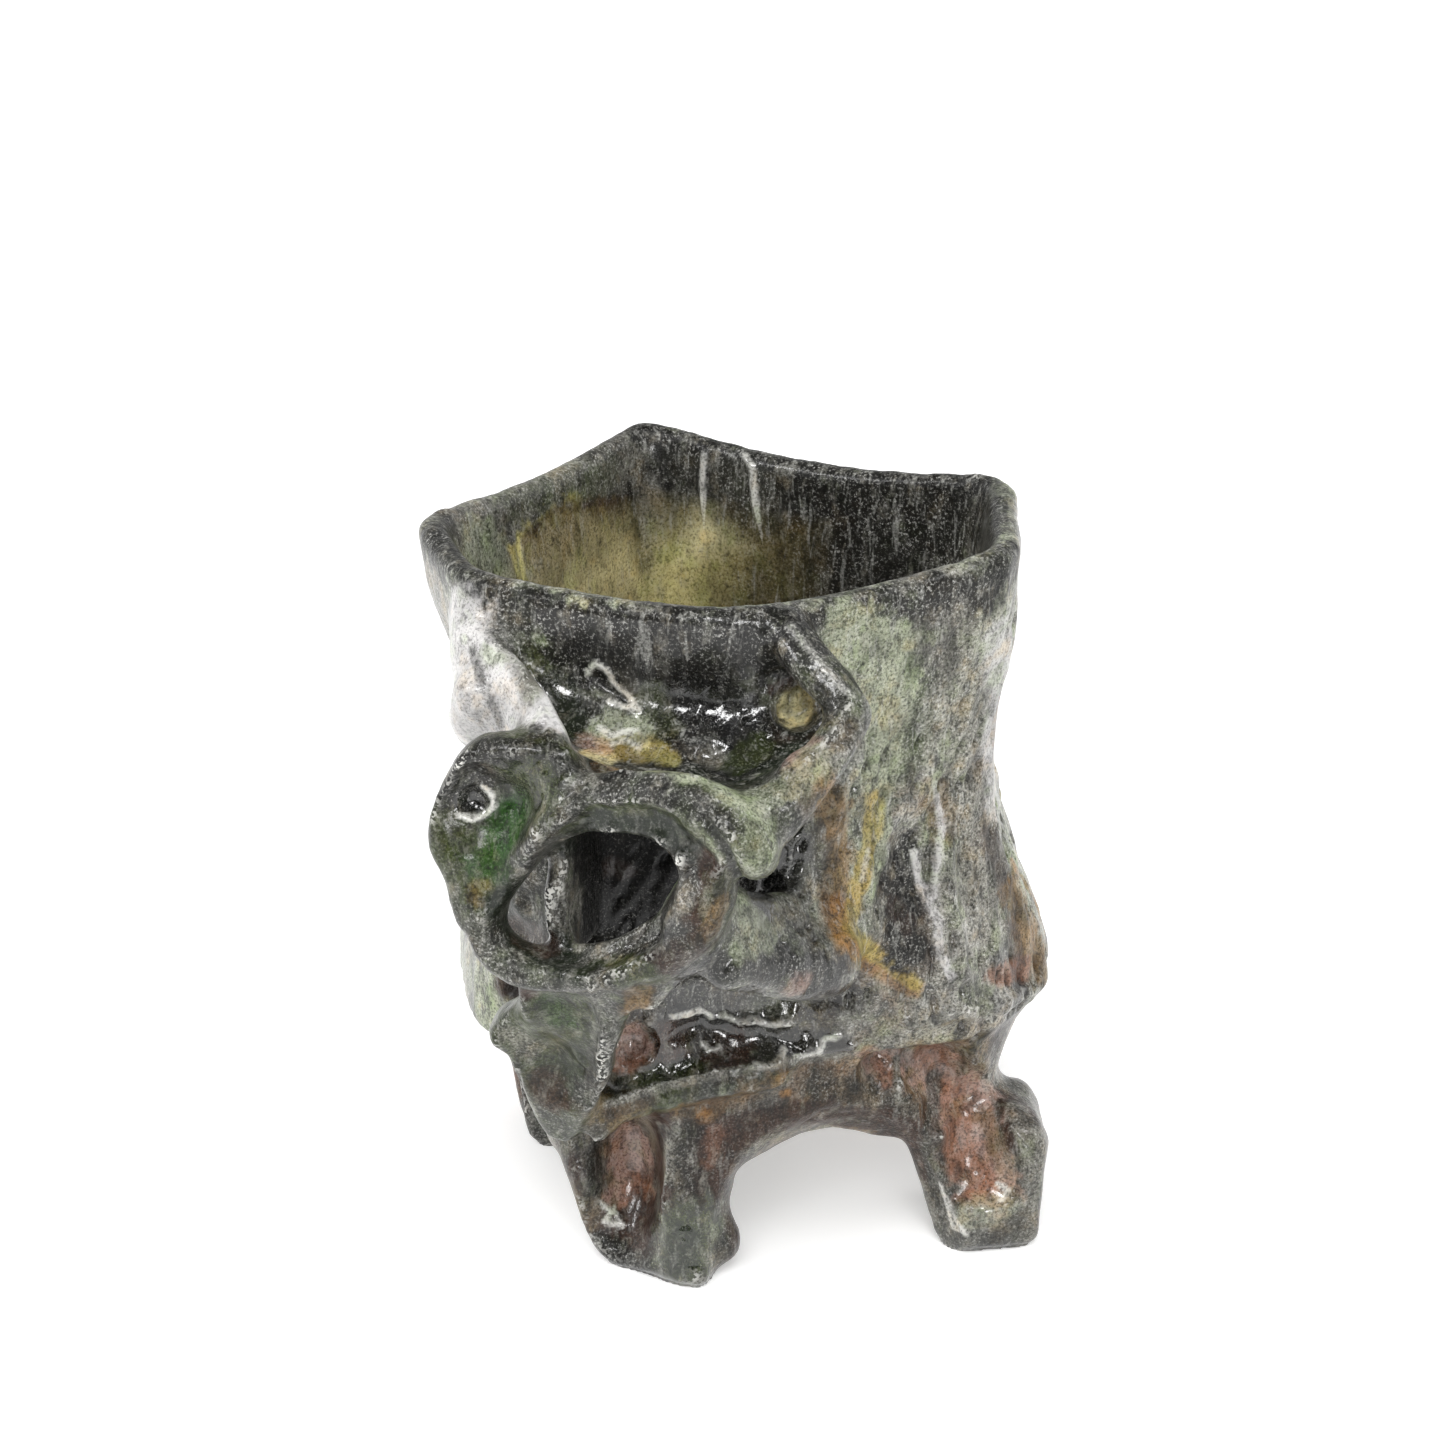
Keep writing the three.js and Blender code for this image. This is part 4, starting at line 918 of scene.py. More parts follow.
    ("umber", [(545, 1080), (552, 1100)], 3.0, 0.85, 0.2),
    # painted shade: dark brown and near-black in the notch by the lower wing, where the body behind
    # it lies in shadow
    ("umber", [(506, 986), (514, 988), (522, 990)], 2.8, 1.0, 0.0),
    ("black_glaze_and_shade", [(514, 989)], 1.8, 0.7, 0.0),
    ("ash", [(512, 1035), (528, 1048)], 2.4, 0.6, 0.0),
    # front of the pedestal
    ("ochre", [(690, 1108), (740, 1095), (780, 1085)], 3.4, 0.7, 0.0),
    ("umber", [(690, 1122), (740, 1104), (800, 1090), (850, 1085)], 4.6, 0.4, 0.1),
    ("slate", [(700, 1098), (760, 1082)], 2.4, 0.5, 0.1),
    ("amber", [(703, 1116)], 1.6, 0.5, 0.1),
    ("amber", [(786, 1093)], 1.2, 0.6, 0.1),
    ("slate", [(820, 1085), (860, 1098), (900, 1112)], 3.6, 0.7, 0.0),
    ("rose", [(878, 1062)], 4.0, 0.9, 0.4),
    ("rust", [(868, 1052), (885, 1078)], 2.0, 0.7, 0.3),
    ("rose", [(928, 1058), (936, 1078)], 4.8, 0.85, 0.4),
    ("rust", [(925, 1050), (940, 1068)], 3.0, 0.8, 0.4),
    ("umber", [(950, 1044)], 2.0, 0.6, 0.3),
    ("ash", [(897, 1036), (897, 1070), (899, 1102)], 0.8, 0.9, 0.0),
    ("umber", [(706, 1190), (720, 1148), (760, 1124), (820, 1114), (880, 1122), (905, 1140)],
     4.0, 0.95, 0.1),
    ("rust", [(705, 1160), (716, 1135)], 2.0, 0.3, 0.1),
    ("umber", [(900, 1128), (918, 1165)], 3.2, 0.9, 0.1),
    ("charcoal", [(684, 1130), (686, 1180), (684, 1225)], 3.2, 0.7, 0.1),
    # left leg
    ("rose", [(626, 1142), (628, 1160), (624, 1190)], 4.6, 1.0, 0.5),
    ("rust", [(640, 1198), (630, 1212)], 4.0, 0.9, 0.4),
    ("umber", [(640, 1206)], 3.0, 0.5, 0.4),
    ("umber", [(618, 1230), (645, 1228)], 5.0, 1.0, 0.35),
    ("umber", [(658, 1116), (661, 1170), (662, 1225)], 2.4, 1.0, 0.2),
    # painted highlight: a pale jagged patch low in the left leg's scoop
    ("frost_and_highlight", [(602, 1204), (612, 1212), (604, 1222), (622, 1226), (614, 1208)], 0.5, 0.7, 1.0),
    ("charcoal", [(600, 1246), (630, 1268), (660, 1278)], 3.6, 0.95, 0.4),
    ("slate", [(596, 1130), (596, 1190)], 2.0, 0.8, 0.2),
    ("moss", [(690, 1232), (685, 1272)], 6.0, 0.95, 0.8),
    ("bottle", [(684, 1240), (682, 1262)], 3.4, 0.8, 1.0),
    ("celadon", [(715, 1235)], 1.6, 0.35, 0.2),
    # right leg
    ("rose", [(958, 1100), (966, 1140), (984, 1176)], 6.8, 0.95, 0.45),
    ("rust", [(956, 1096), (958, 1130), (966, 1160), (978, 1180)], 4.4, 0.85, 0.4),
    ("umber", [(975, 1098), (986, 1130), (996, 1165)], 1.2, 0.5, 0.3),
    ("ochre", [(984, 1120), (1000, 1150), (1008, 1180)], 2.4, 0.4, 0.3),
    ("slate", [(932, 1080), (932, 1150), (940, 1200)], 2.0, 0.8, 0.1),
    ("celadon", [(966, 1216), (1005, 1206)], 3.0, 0.5, 0.9),
    ("slate", [(945, 1240), (1000, 1245)], 3.0, 0.8, 0.5),
    # painted highlights: a pale loop and a pale mark on the right leg's wet glaze
    ("frost_and_highlight", [(940, 1185), (947, 1208), (952, 1227), (966, 1234), (956, 1222), (947, 1199)],
     0.5, 0.8, 1.0),
    ("frost_and_highlight", [(998, 1184), (1008, 1190), (1002, 1200)], 0.6, 0.8, 1.0),
    ("ash", [(1020, 1110), (1034, 1150)], 2.6, 0.6, 0.3),
    # back legs and the back of the pedestal
    ("rose", [(24, 46, 18), (24, 46, 13), (25, 46, 9)], 5.4, 0.8, 0.5),
    ("umber", [(24, 46, 4)], 4.4, 0.85, 0.4),
    ("rose", [(-27, 39, 18), (-27, 39, 13), (-28, 38, 9)], 5.0, 0.8, 0.5),
    ("umber", [(-28, 38, 4)], 4.4, 0.85, 0.4),
    ("rust", [(-41, 25, 17), (-41, 25, 12), (-40, 26, 8)], 4.4, 0.8, 0.5),
    ("rust", [(37, 34, 17), (37, 34, 12), (36, 34, 8)], 4.4, 0.8, 0.5),
    ("umber", [(-12, 51, 29), (-7, 51, 28)], 4.4, 0.8, 0.4),
    ("rose", [(12, 51, 30)], 3.8, 0.7, 0.5),
    ("umber", [(-43, 8, 29), (-43, 13, 28)], 4.4, 0.8, 0.4),
    ("rust", [(45, 20, 29), (44, 25, 29)], 4.0, 0.8, 0.4),
    ("celadon", [(-20, 52, 60), (-20, 52, 66), (-19, 52, 72), (-18, 52, 78)], 7.0, 0.6, 0.1),
    ("moss", [(-44, 20, 90), (-44, 20, 85), (-44, 20, 80), (-44, 20, 75)], 4.0, 0.6, 0.3),
    ("ochre", [(20, 52, 80), (20, 52, 75), (21, 52, 70), (21, 52, 65), (21, 52, 60)], 3.0, 0.6,
     0.1),
]


BROKEN_EDGE = (0.6, 1.1)  # shares of a brush stroke's radius between which it fades
LINING_CALM = 0.6  # how even the glaze lies inside the cup


def over(under, colour, share):
    """A colour laid over others, by a share for each vertex."""
    return under + (colour - under) * share[:, None]


def laid_on(clay, weight, crest, hollow, glaze):
    """Colour of the glaze at each vertex, how glossy it lies there, and how even. The weight
    is each vertex's share in every part."""
    p, normal = clay.place, clay.normals()
    height = p[:, 2]
    colour = {name: np.array(getattr(glaze, name)[:]) for name in CALM}
    # the first coat breaks up in patches 17 and 8 mm wide, drawn down as the glaze ran
    hanging = p * (1, 1, 0.4)
    broad = step(-0.25, 0.35, noise(hanging, 17, 61, 3))
    narrow = step(0.0, 0.45, noise(hanging, 8, 62, 3))
    tint, calm = np.zeros_like(p), np.zeros(len(p))
    for index, part in enumerate(NODES):
        main, second, third, even = FIRST_COAT[part]
        coat = over(over(colour[main], colour[second], broad), colour[third], narrow)
        tint += coat * weight[:, index : index + 1]
        calm += even * weight[:, index]
    # celadon flushes on the outside wall, and ochre low down
    outside = weight[:, NODES.index("cup_wall")]
    flush = step(0.12, 0.5, noise(hanging, 13, 63, 2))
    tint = over(tint, colour["celadon"], 0.55 * flush * outside)
    low = step(0.1, 0.5, noise(hanging, 10, 64, 2)) * (1 - step(46, 66, height))
    tint = over(tint, colour["ochre"], 0.45 * low)
    # a darker lining inside the cup
    _, out, facing = from_axis(p, normal)
    within = step(0.1, 0.5, -facing) * step(*INSIDE_FROM, height) * (1 - step(40, 48, out))
    tint = over(tint, over(colour["charcoal"], colour["slate"], broad), within)
    calm += (LINING_CALM - calm) * within
    # the crests of the runs are pale and their troughs brown
    tint = over(tint, colour["frost_and_highlight"], 0.245 * np.clip(crest, 0, 1))
    tint = over(tint, colour["umber"], 0.7 * np.clip(-crest, 0, 1))
    gloss = 0.25 + 0.5 * hollow
    ragged = 0.5 * noise(hanging, 3.0, 65, 3) + 0.4 * noise(p, 1.1, 66, 2)
    tree = clay.tree()
    for name, points, radius, strength, wet in BRUSH:
        near, away, _ = under_stroke(p, normal, points, radius * 1.5, tree, FINE_STRIDE)
        even = CALM[name]
        uneven = ragged[near] * min(1.0, 0.35 + radius / 6) * (1.2 - 0.8 * even)
        cover = strength * (1 - step(*BROKEN_EDGE, away / radius + uneven))
        tint[near] = over(tint[near], colour[name], cover)
        gloss[near] += (wet - gloss[near]) * cover
        calm[near] += (even - calm[near]) * cover
    return tint, gloss, calm


# Materials


def node(tree, kind, settings=None, **links):
    """Adds a node with its settings and links. Both are named after the node's property or its
    socket, with underscores for blanks, or i and a number where sockets share a name. A link
    comes from a socket, or from the first output in use of a node."""
    made = tree.nodes.new(kind)

    def socket(name):
        if name[1:].isdigit():
            return made.inputs[int(name[1:])]
        return next(s for s in made.inputs if s.enabled and s.name == name.replace("_", " "))

    for name, value in (settings or {}).items():
        if hasattr(made, name):
            setattr(made, name, value)
        else:
            socket(name).default_value = value
    for name, source in links.items():
        if hasattr(source, "outputs"):
            source = next(s for s in source.outputs if s.enabled)
        tree.links.new(source, socket(name))
    return made


NOISE, CELLS, VECTOR = "ShaderNodeTexNoise", "ShaderNodeTexVoronoi", "ShaderNodeVectorMath"
MIX, MATH, RANGE = "ShaderNodeMix", "ShaderNodeMath", "ShaderNodeMapRange"
COORDINATES, ATTRIBUTE = "ShaderNodeTexCoord", "ShaderNodeAttribute"
COLOUR = {"data_type": "RGBA"}
SMOOTH = {"interpolation_type": "SMOOTHSTEP"}

# Each slot's finish: the material's name, roughness of the dry glaze, depth of its grain in mm,
# how much pale salt there is in the speckle, which is partly painted glints of light, and how much
# the threads of a run show. What it gives the eye is written over it.
FINISHES = {
    # stoneware under an iron-black glaze: near black in pools, with grey speckle where it thins
    "dark_mottled_glaze": ("Mottled iron glaze on stoneware", 0.36, 0.10, 0.66, 0.42),
    # stoneware under a khaki ash glaze that has run down into the floor and crazed
    "olive_pooled_glaze": ("Pooled ash glaze on stoneware", 0.30, 0.06, 0.30, 0.0),
    # stoneware flashed pink and brown where the glaze is thin over iron-bearing clay
    "rust_flashed_glaze": ("Flashed stoneware under thin glaze", 0.38, 0.09, 0.50, 0.25),
    # stoneware with a dry, bone-grey skin of glaze that breaks to frost on the edges, where it is
    # also painted highlight
    "bone_grey_glaze": ("Dry grey glaze on stoneware", 0.42, 0.11, 0.62, 0.15),
    # stoneware under copper glaze: green where thick, grey where it has drained off
    "copper_green_glaze": ("Copper glaze on stoneware", 0.34, 0.10, 0.50, 0.12),
}

GLASS_IOR = 1.52
GRAIN_BUMP, GLASS_BUMP = 0.9, 0.8  # how strongly the grain and the glass over it catch light
GLASS_WAVES = 0.10  # mm, in the glass over the glaze
WHITE = (*linear("#ffffff"), 1)


def glazed(finish, frost_and_highlight):
    """A kiln-fired glaze, driven by the colour and the relief laid on the clay."""
    name, rough, grain_depth, salt_and_glint_share, threads = FINISHES[finish]
    if name in bpy.data.materials:
        return bpy.data.materials[name]
    material = bpy.data.materials.new(name)
    material.use_nodes = True
    tree = material.node_tree
    tree.nodes.clear()
    place = node(tree, COORDINATES).outputs["Object"]
    mm = node(tree, VECTOR, {"operation": "SCALE", "Scale": 1 / MM}, i0=place)
    tint = node(tree, ATTRIBUTE, {"attribute_name": "glaze"})
    skin = node(tree, ATTRIBUTE, {"attribute_name": "skin"})
    ridge, pool, hollow = node(tree, "ShaderNodeSeparateColor", Color=skin).outputs

    # the patterns, each scaled by the mm across its lumps: clouds and flecks of thick and thin
    # glaze, a drift of the hue, threads where it ran down, grain, drops of iron, dry crumbs
    drawn_down = node(tree, VECTOR, {"operation": "MULTIPLY", "i1": (1, 1, 0.5)}, i0=mm)
    hanging = node(tree, VECTOR, {"operation": "MULTIPLY", "i1": (1, 1, 0.18)}, i0=mm)
    cloud = node(tree, NOISE, {
        "Scale": 1 / 5.0, "Detail": 6.0, "Roughness": 0.66, "Distortion": 0.6}, Vector=drawn_down)
    fleck = node(tree, NOISE, {
        "Scale": 1 / 2.0, "Detail": 4.0, "Roughness": 0.65, "Distortion": 0.3}, Vector=drawn_down)
    drift = node(tree, NOISE, {
        "noise_dimensions": "4D", "W": 3.0, "Scale": 1 / 4.4, "Detail": 3.0, "Roughness": 0.6},
        Vector=mm)
    thread = node(tree, NOISE, {
        "Scale": 1 / 1.3, "Detail": 3.0, "Roughness": 0.6, "Distortion": 0.5}, Vector=hanging)
    grain = node(tree, NOISE, {"Scale": 1 / 0.42, "Detail": 2.0, "Roughness": 0.7}, Vector=mm)
    drops = node(tree, CELLS, {"Scale": 1 / 1.8}, Vector=mm)
    crumb = node(tree, NOISE, {
        "noise_dimensions": "4D", "W": 7.0, "Scale": 1 / 0.55, "Detail": 1.0, "Roughness": 0.6},
        Vector=mm)

    # where the glaze lies calm it doesn't break up, and its hue and its speckle quieten
    calm = tint.outputs["Alpha"]
    broken = node(tree, MATH, {"operation": "SUBTRACT", "i0": 1.0}, i1=calm)
    lively = node(tree, RANGE, {"To Min": 1.0, "To Max": 0.3}, Value=calm)
    # pale salt shows on grey glaze, between the dark clouds; the salt is partly painted glints of
    # light
    vivid = node(tree, "ShaderNodeSeparateColor", {"mode": "HSV"}, Color=tint)
    greyness = node(tree, RANGE, {
        "From Min": 0.75, "From Max": 0.15, "To Min": 0.3 * salt_and_glint_share, "To Max": salt_and_glint_share},
        Value=vivid.outputs[1])
    clear = node(tree, RANGE, {"From Min": 0.62, "From Max": 0.40, "To Min": 0.25}, Value=cloud)
    salt_and_glints = node(tree, MATH, {"operation": "MULTIPLY"}, i0=greyness, i1=clear)
    salt_and_glints = node(tree, MATH, {"operation": "MULTIPLY"}, i0=salt_and_glints, i1=lively)

    body = tint
    # (pattern, where it starts, where it is full, how much, what holds it back, then a colour
    # to mix in, or the shares of red, green and blue to multiply by)
    for pattern, start, full, amount, held, blend, colour in (
        # thick dark glaze lies in clouds about 5 mm across, and thin pale glaze in flecks of 2 mm
        (cloud, 0.48, 0.62, 0.85, broken, "MULTIPLY", (0.20, 0.20, 0.21)),
        (fleck, 0.52, 0.68, 0.34, broken, "MIX", linear("#afada2")),
        (fleck, 0.48, 0.36, 0.85, broken, "MIX", linear("#1d1d19")),
        # the hue drifts between brown and green over a few millimetres
        (drift, 0.53, 0.66, 0.7, lively, "MULTIPLY", (1.22, 0.98, 0.66)),
        (drift, 0.47, 0.34, 0.7, lively, "MULTIPLY", (0.88, 1.04, 0.68)),
        # the glaze has run down in threads about 1 mm apart, with pale lines between them
        (thread, 0.57, 0.66, threads, broken, "MIX", linear("#b3b3ad")),
        (thread, 0.42, 0.32, threads, broken, "MULTIPLY", (0.3, 0.3, 0.28)),
        # hollows are darkened: painted shade in them, and the iron that pools there
        (hollow, 0.0, 1.0, 0.75, broken, "MULTIPLY", (0.22, 0.21, 0.20)),
        # the speckle is 0.3 to 0.6 mm on the real mug: black pepper, pale salt that is partly
        # painted glints of light, and iron
        (grain, 0.50, 0.36, 0.95, lively, "MULTIPLY", (0.12, 0.12, 0.11)),
        (grain, 0.55, 0.70, 1.0, salt_and_glints, "MIX", linear("#d4d3cd")),
        (drops, 0.22, 0.12, 0.7, lively, "MIX", linear("#12100d")),
        # edges break to a dry frost, with the dark body showing in the pits between; the pale frost
        # on the ridges is also painted highlight along the edges
        (ridge, 0.0, 1.0, 0.85, None, "MULTIPLY", (0.18, 0.18, 0.18)),
        (crumb, 0.50, 0.57, 1.0, ridge, "MIX", frost_and_highlight),
    ):
        share = node(tree, RANGE, {"From Min": start, "From Max": full, "To Max": amount},
                     Value=pattern)
        if held is not None:
            share = node(tree, MATH, {"operation": "MULTIPLY"}, i0=share, i1=held)
        body = node(tree, MIX, {**COLOUR, "blend_type": blend, "B": (*colour, 1)},
                    Factor=share, A=body)

    # under the glass the glaze is grainy; the glass over it is smooth where it has pooled
    pocks = node(tree, CELLS, {"Scale": 1 / 1.2}, Vector=mm)
    pock = node(tree, RANGE, {"From Min": 0.0, "From Max": 0.4}, Value=pocks)
    grit = node(tree, MATH, {"operation": "MULTIPLY_ADD", "i1": 0.6}, i0=pock, i2=grain)
    grit = node(tree, MATH, {"operation": "ADD"}, i0=grit, i1=fleck)
    grit = node(tree, MATH, {"operation": "MULTIPLY_ADD", "i1": 6 * threads}, i0=thread, i2=grit)
    grainy = node(tree, "ShaderNodeBump", {"Strength": GRAIN_BUMP, "Distance": grain_depth * MM},
                  Height=grit)
    waves = node(tree, MATH, {"operation": "MULTIPLY_ADD", "i1": 0.25}, i0=grain, i2=fleck)
    glassy = node(tree, "ShaderNodeBump", {"Strength": GLASS_BUMP, "Distance": GLASS_WAVES * MM},
                  Height=waves)
    dry = node(tree, RANGE, {"To Min": rough, "To Max": 0.14}, Value=pool)
    dull = node(tree, MATH, {"operation": "MULTIPLY_ADD", "i1": 0.25}, i0=ridge, i2=dry)
    glass = node(tree, RANGE, {"From Min": 0.1, "From Max": 0.7, "To Min": 0.06}, Value=pool)
    glass_dull = node(tree, RANGE, {"To Min": 0.16, "To Max": 0.03}, Value=pool)
    shader = node(tree, "ShaderNodeBsdfPrincipled", {
        "IOR": GLASS_IOR, "Coat IOR": GLASS_IOR, "Specular IOR Level": 0.2},
        Base_Color=body, Roughness=dull, Normal=grainy,
        Coat_Weight=glass, Coat_Roughness=glass_dull, Coat_Normal=glassy)
    node(tree, "ShaderNodeOutputMaterial", Surface=shader)
    return material


FIBRE = MM / 0.9  # the paper's mottle is about 1.1 mm across


def paper(name, glow):
    """A plain white paper floor, matt and almost even. It glows by its own emission, as if lit a
    little
    through from below: painted light that lifts the shadows on it, more so away from the mug."""
    material = bpy.data.materials.new(name)
    material.use_nodes = True
    tree = material.node_tree
    tree.nodes.clear()
    place = node(tree, COORDINATES).outputs["Object"]
    fibre = node(tree, NOISE, {"Scale": 1 / FIBRE, "Detail": 2.0}, Vector=place)
    colour = node(tree, RANGE, {"To Min": 0.9, "To Max": 0.93}, Value=fibre)
    away = node(tree, VECTOR, {"operation": "LENGTH"}, i0=place).outputs["Value"]
    light = node(tree, RANGE, {
        **SMOOTH, "From Min": 0.15, "From Max": 0.7, "To Min": glow, "To Max": 2 * glow},
        Value=away)
    shader = node(tree, "ShaderNodeBsdfPrincipled", {
        "Roughness": 0.9, "Specular IOR Level": 0.2, "Emission Color": WHITE},
        Base_Color=colour, Emission_Strength=light)
    node(tree, "ShaderNodeOutputMaterial", Surface=shader)
    return material


# Cutting the body into its parts


def shells_apart(obj):
    """Cuts the labelled body into one object for each part and returns them by name."""
    for other in bpy.context.selected_objects:
        other.select_set(False)
    obj.select_set(True)
    bpy.context.view_layer.objects.active = obj
    bpy.ops.object.mode_set(mode="EDIT")
    bpy.ops.mesh.separate(type="MATERIAL")
    bpy.ops.object.mode_set(mode="OBJECT")
    found = {}
    for piece in list(bpy.context.selected_objects):
        labels = piece.data.materials
        label = labels[min(piece.data.polygons[0].material_index, len(labels) - 1)]
        found[label.name.removeprefix("part ")] = piece
    missing = sorted(set(NODES) - set(found))
    if missing:
        raise RuntimeError(f"no clay was left for {missing}")
    return found


def open_loops(cut):
    """The open edges of a cut, as a list of joined loops."""
    left = dict.fromkeys(e for e in cut.edges if e.is_boundary)  # keeps the order of the edges
    loops = []
    while left:
        todo, loop = [left.popitem()[0]], []
        while todo:
            edge = todo.pop()
            loop.append(edge)
            for v in edge.verts:
                for other in v.link_edges:
                    if other in left:
                        del left[other]
                        todo.append(other)
        loops.append(loop)
    return sorted(loops, key=len, reverse=True)


def loop_height(loop):
    """The mean height of a loop of edges."""
    return sum(v.co.z for e in loop for v in e.verts) / (2 * len(loop))


def goes_round(loop):
    """Whether a loop runs all the way round the cup's axis."""
    places = (v.co / MM for e in loop for v in e.verts)
    quarters = {(place.x > CUP_AXIS[0], place.y > CUP_AXIS[1]) for place in places}
    return len(quarters) == 4


def turned_to_neighbours(faces):
    """Turns new faces so that each runs on from the old face it touches."""
    for face in faces:
        for loop in face.loops:
            other = loop.link_loop_radial_next
            if other is not loop and other.face not in faces:
                if other.vert is loop.vert:
                    face.normal_flip()
                break


COLLAR = 0.9 * MM  # how far a cut is drawn in under the skin before it is closed
BACK = 0.7 * MM  # thickness of a part that is only a skin of glaze and clay over others
FLOOR_DEPTH = 9.0 * MM  # how deep the cup's floor is, and the wall around it


def drawn(cut, loop, shift):
    """Draws an open loop out by shift(vertex), and returns the loop that is open then."""
    grown = bmesh.ops.extrude_edge_only(cut, edges=loop)["geom"]
    turned_to_neighbours({g for g in grown if isinstance(g, bmesh.types.BMFace)})
    for v in (g for g in grown if isinstance(g, bmesh.types.BMVert)):
        v.co += shift(v)
    return [g for g in grown if isinstance(g, bmesh.types.BMEdge) and g.is_boundary]


def closed(piece):
    """Closes the places where the knife went through, out of sight inside the clay, and returns
    how many edges stay open."""
    cut = bmesh.new()
    cut.from_mesh(piece.data)
    way = cut.verts.layers.float_vector["way"]
    loose = [v for v in cut.verts if not v.link_faces]
    bmesh.ops.delete(cut, geom=loose, context="VERTS")

    def sunk(v):
        return v[way] * -COLLAR

    def down(_):
        return Vector((0, 0, -FLOOR_DEPTH))

    if piece.name.startswith("thumb_rest"):
        front = cut.verts[:]
        bmesh.ops.extrude_face_region(cut, geom=cut.faces[:], use_keep_orig=True)
        for v in front:  # the first skin becomes the back and the new one the front
            v.co += v[way] * -BACK
            v[way] = -v[way]
    loops = open_loops(cut)
    if piece.name.startswith("cup_wall"):
        round_ones = [loop for loop in loops if goes_round(loop)]
        if len(round_ones) != 2:
            raise RuntimeError(f"the cup's wall was cut by {len(round_ones)} round loops, not 2")
        inner, outer = sorted(round_ones, key=loop_height, reverse=True)
        loops = [loop for loop in loops if loop is not inner and loop is not outer]
        rims = drawn(cut, inner, down) + drawn(cut, outer, sunk)
        turned_to_neighbours(set(bmesh.ops.bridge_loops(cut, edges=rims)["faces"]))
    for loop in loops:
        rim = drawn(cut, loop, down if piece.name.startswith("cup_floor") else sunk)
        caps = bmesh.ops.holes_fill(cut, edges=rim, sides=0)["faces"]
        turned_to_neighbours(set(caps))
        bmesh.ops.triangulate(cut, faces=caps, quad_method="BEAUTY", ngon_method="BEAUTY")
    still = sum(not e.is_manifold for e in cut.edges)
    cut.to_mesh(piece.data)
    cut.free()
    return still


TRIANGLES = 190_000  # a piece stays under 200,000
# Where the cup's wall can be thinned out, in mm above the table: its inside, and the outside of
# its back, which begins 18 mm behind the middle of the part.
PLAIN_INSIDE, PLAIN_OUTSIDE, PLAIN_TOP = 49, 44, 106
BACK_FROM = 18


def plain_places(piece):
    """A vertex group of where the cup is smooth or away from the front, to be thinned out."""
    mesh = piece.data
    place = column(mesh.vertices, "co", 3) / MM
    _, _, facing = from_axis(place, column(mesh.attributes["way"].data, "vector", 3))
    behind, height = place[:, 1] > BACK_FROM, place[:, 2]
    inner = (facing < -0.3) & (height > PLAIN_INSIDE) & (height < PLAIN_TOP)
    outer = (facing > 0.3) & behind & (height > PLAIN_OUTSIDE) & (height < PLAIN_TOP)
    group = piece.vertex_groups.new(name="plain")
    for chosen, weight in ((inner, 1.0), (outer, 0.5)):
        group.add(np.flatnonzero(chosen).tolist(), weight, "REPLACE")
    return group


def thinned(piece):
    """Takes triangles out of the plain places of a piece that has too many."""
    mesh = piece.data
    count = sum(len(face.vertices) - 2 for face in mesh.polygons)
    if count > TRIANGLES:
        thin = piece.modifiers.new("thin", "DECIMATE")
        thin.ratio = TRIANGLES / count
        thin.vertex_group = plain_places(piece).name
        graph = bpy.context.evaluated_depsgraph_get()
        piece.data = bpy.data.meshes.new_from_object(piece.evaluated_get(graph))
        piece.modifiers.clear()
        bpy.data.meshes.remove(mesh)
        piece.data.name = piece.name


def finished(name, material):
    """Closes, names and dresses one part."""
    piece = bpy.data.objects.get("clay " + name)
    if piece is None:
        raise RuntimeError("the clay hasn't been cut yet")
    piece.name = piece.data.name = name + "_glazed"
    still = closed(piece)
    if still:
        print(f"{name}: {still} edges aren't closed")
    thinned(piece)
    mesh = piece.data
    way = column(mesh.attributes["way"].data, "vector", 3)
    way /= np.linalg.norm(way, axis=1, keepdims=True) + NO_LENGTH
    mesh.polygons.foreach_set("use_smooth", np.ones(len(mesh.polygons), bool))
    mesh.normals_split_custom_set_from_vertices(way.tolist())
    mesh.attributes.remove(mesh.attributes["way"])
    mesh.materials.clear()
    mesh.materials.append(material)
    mesh.polygons.foreach_set("material_index", np.zeros(len(mesh.polygons), np.int32))
    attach(piece, "root")
    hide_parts(name)
    return piece


# Operators


FOOT = 0.45  # mm: what lies lower than this stands flat on the table


def modelled(body, settings):
    """Melts and kneads the fused body. It returns the clay, each vertex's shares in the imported
    parts, and how far it lies on a crest of the glaze's runs."""
    regridded(body, settings.coarse_step)
    clay = Clay(body.data)
    clay.melt(6, bumps=0.5, hollows=0.5)
    clay.melt(settings.fillet_rounds, bumps=0.02, hollows=0.5)
    knead(clay, KNEADING, wobble=0.12, seed=1, stride=BROAD_STRIDE)
    clay.melt(2, bumps=0.2, hollows=0.4)
    clay.keep()
    regridded(body, settings.fine_step)
    clay = Clay(body.data)
    clay.melt(5, bumps=0.3, hollows=0.6)
    share = nearest_parts(clay)
    drawn_out(clay, settings.pinch)
    knead(clay, MARKS, wobble=0.2, seed=2, stride=FINE_STRIDE)
    crest = textured(clay, settings)
    clay.melt(1, bumps=0.3, hollows=0.3)
    clay.place[clay.place[:, 2] < FOOT, 2] = 0.0
    clay.keep()
    return clay, share, crest


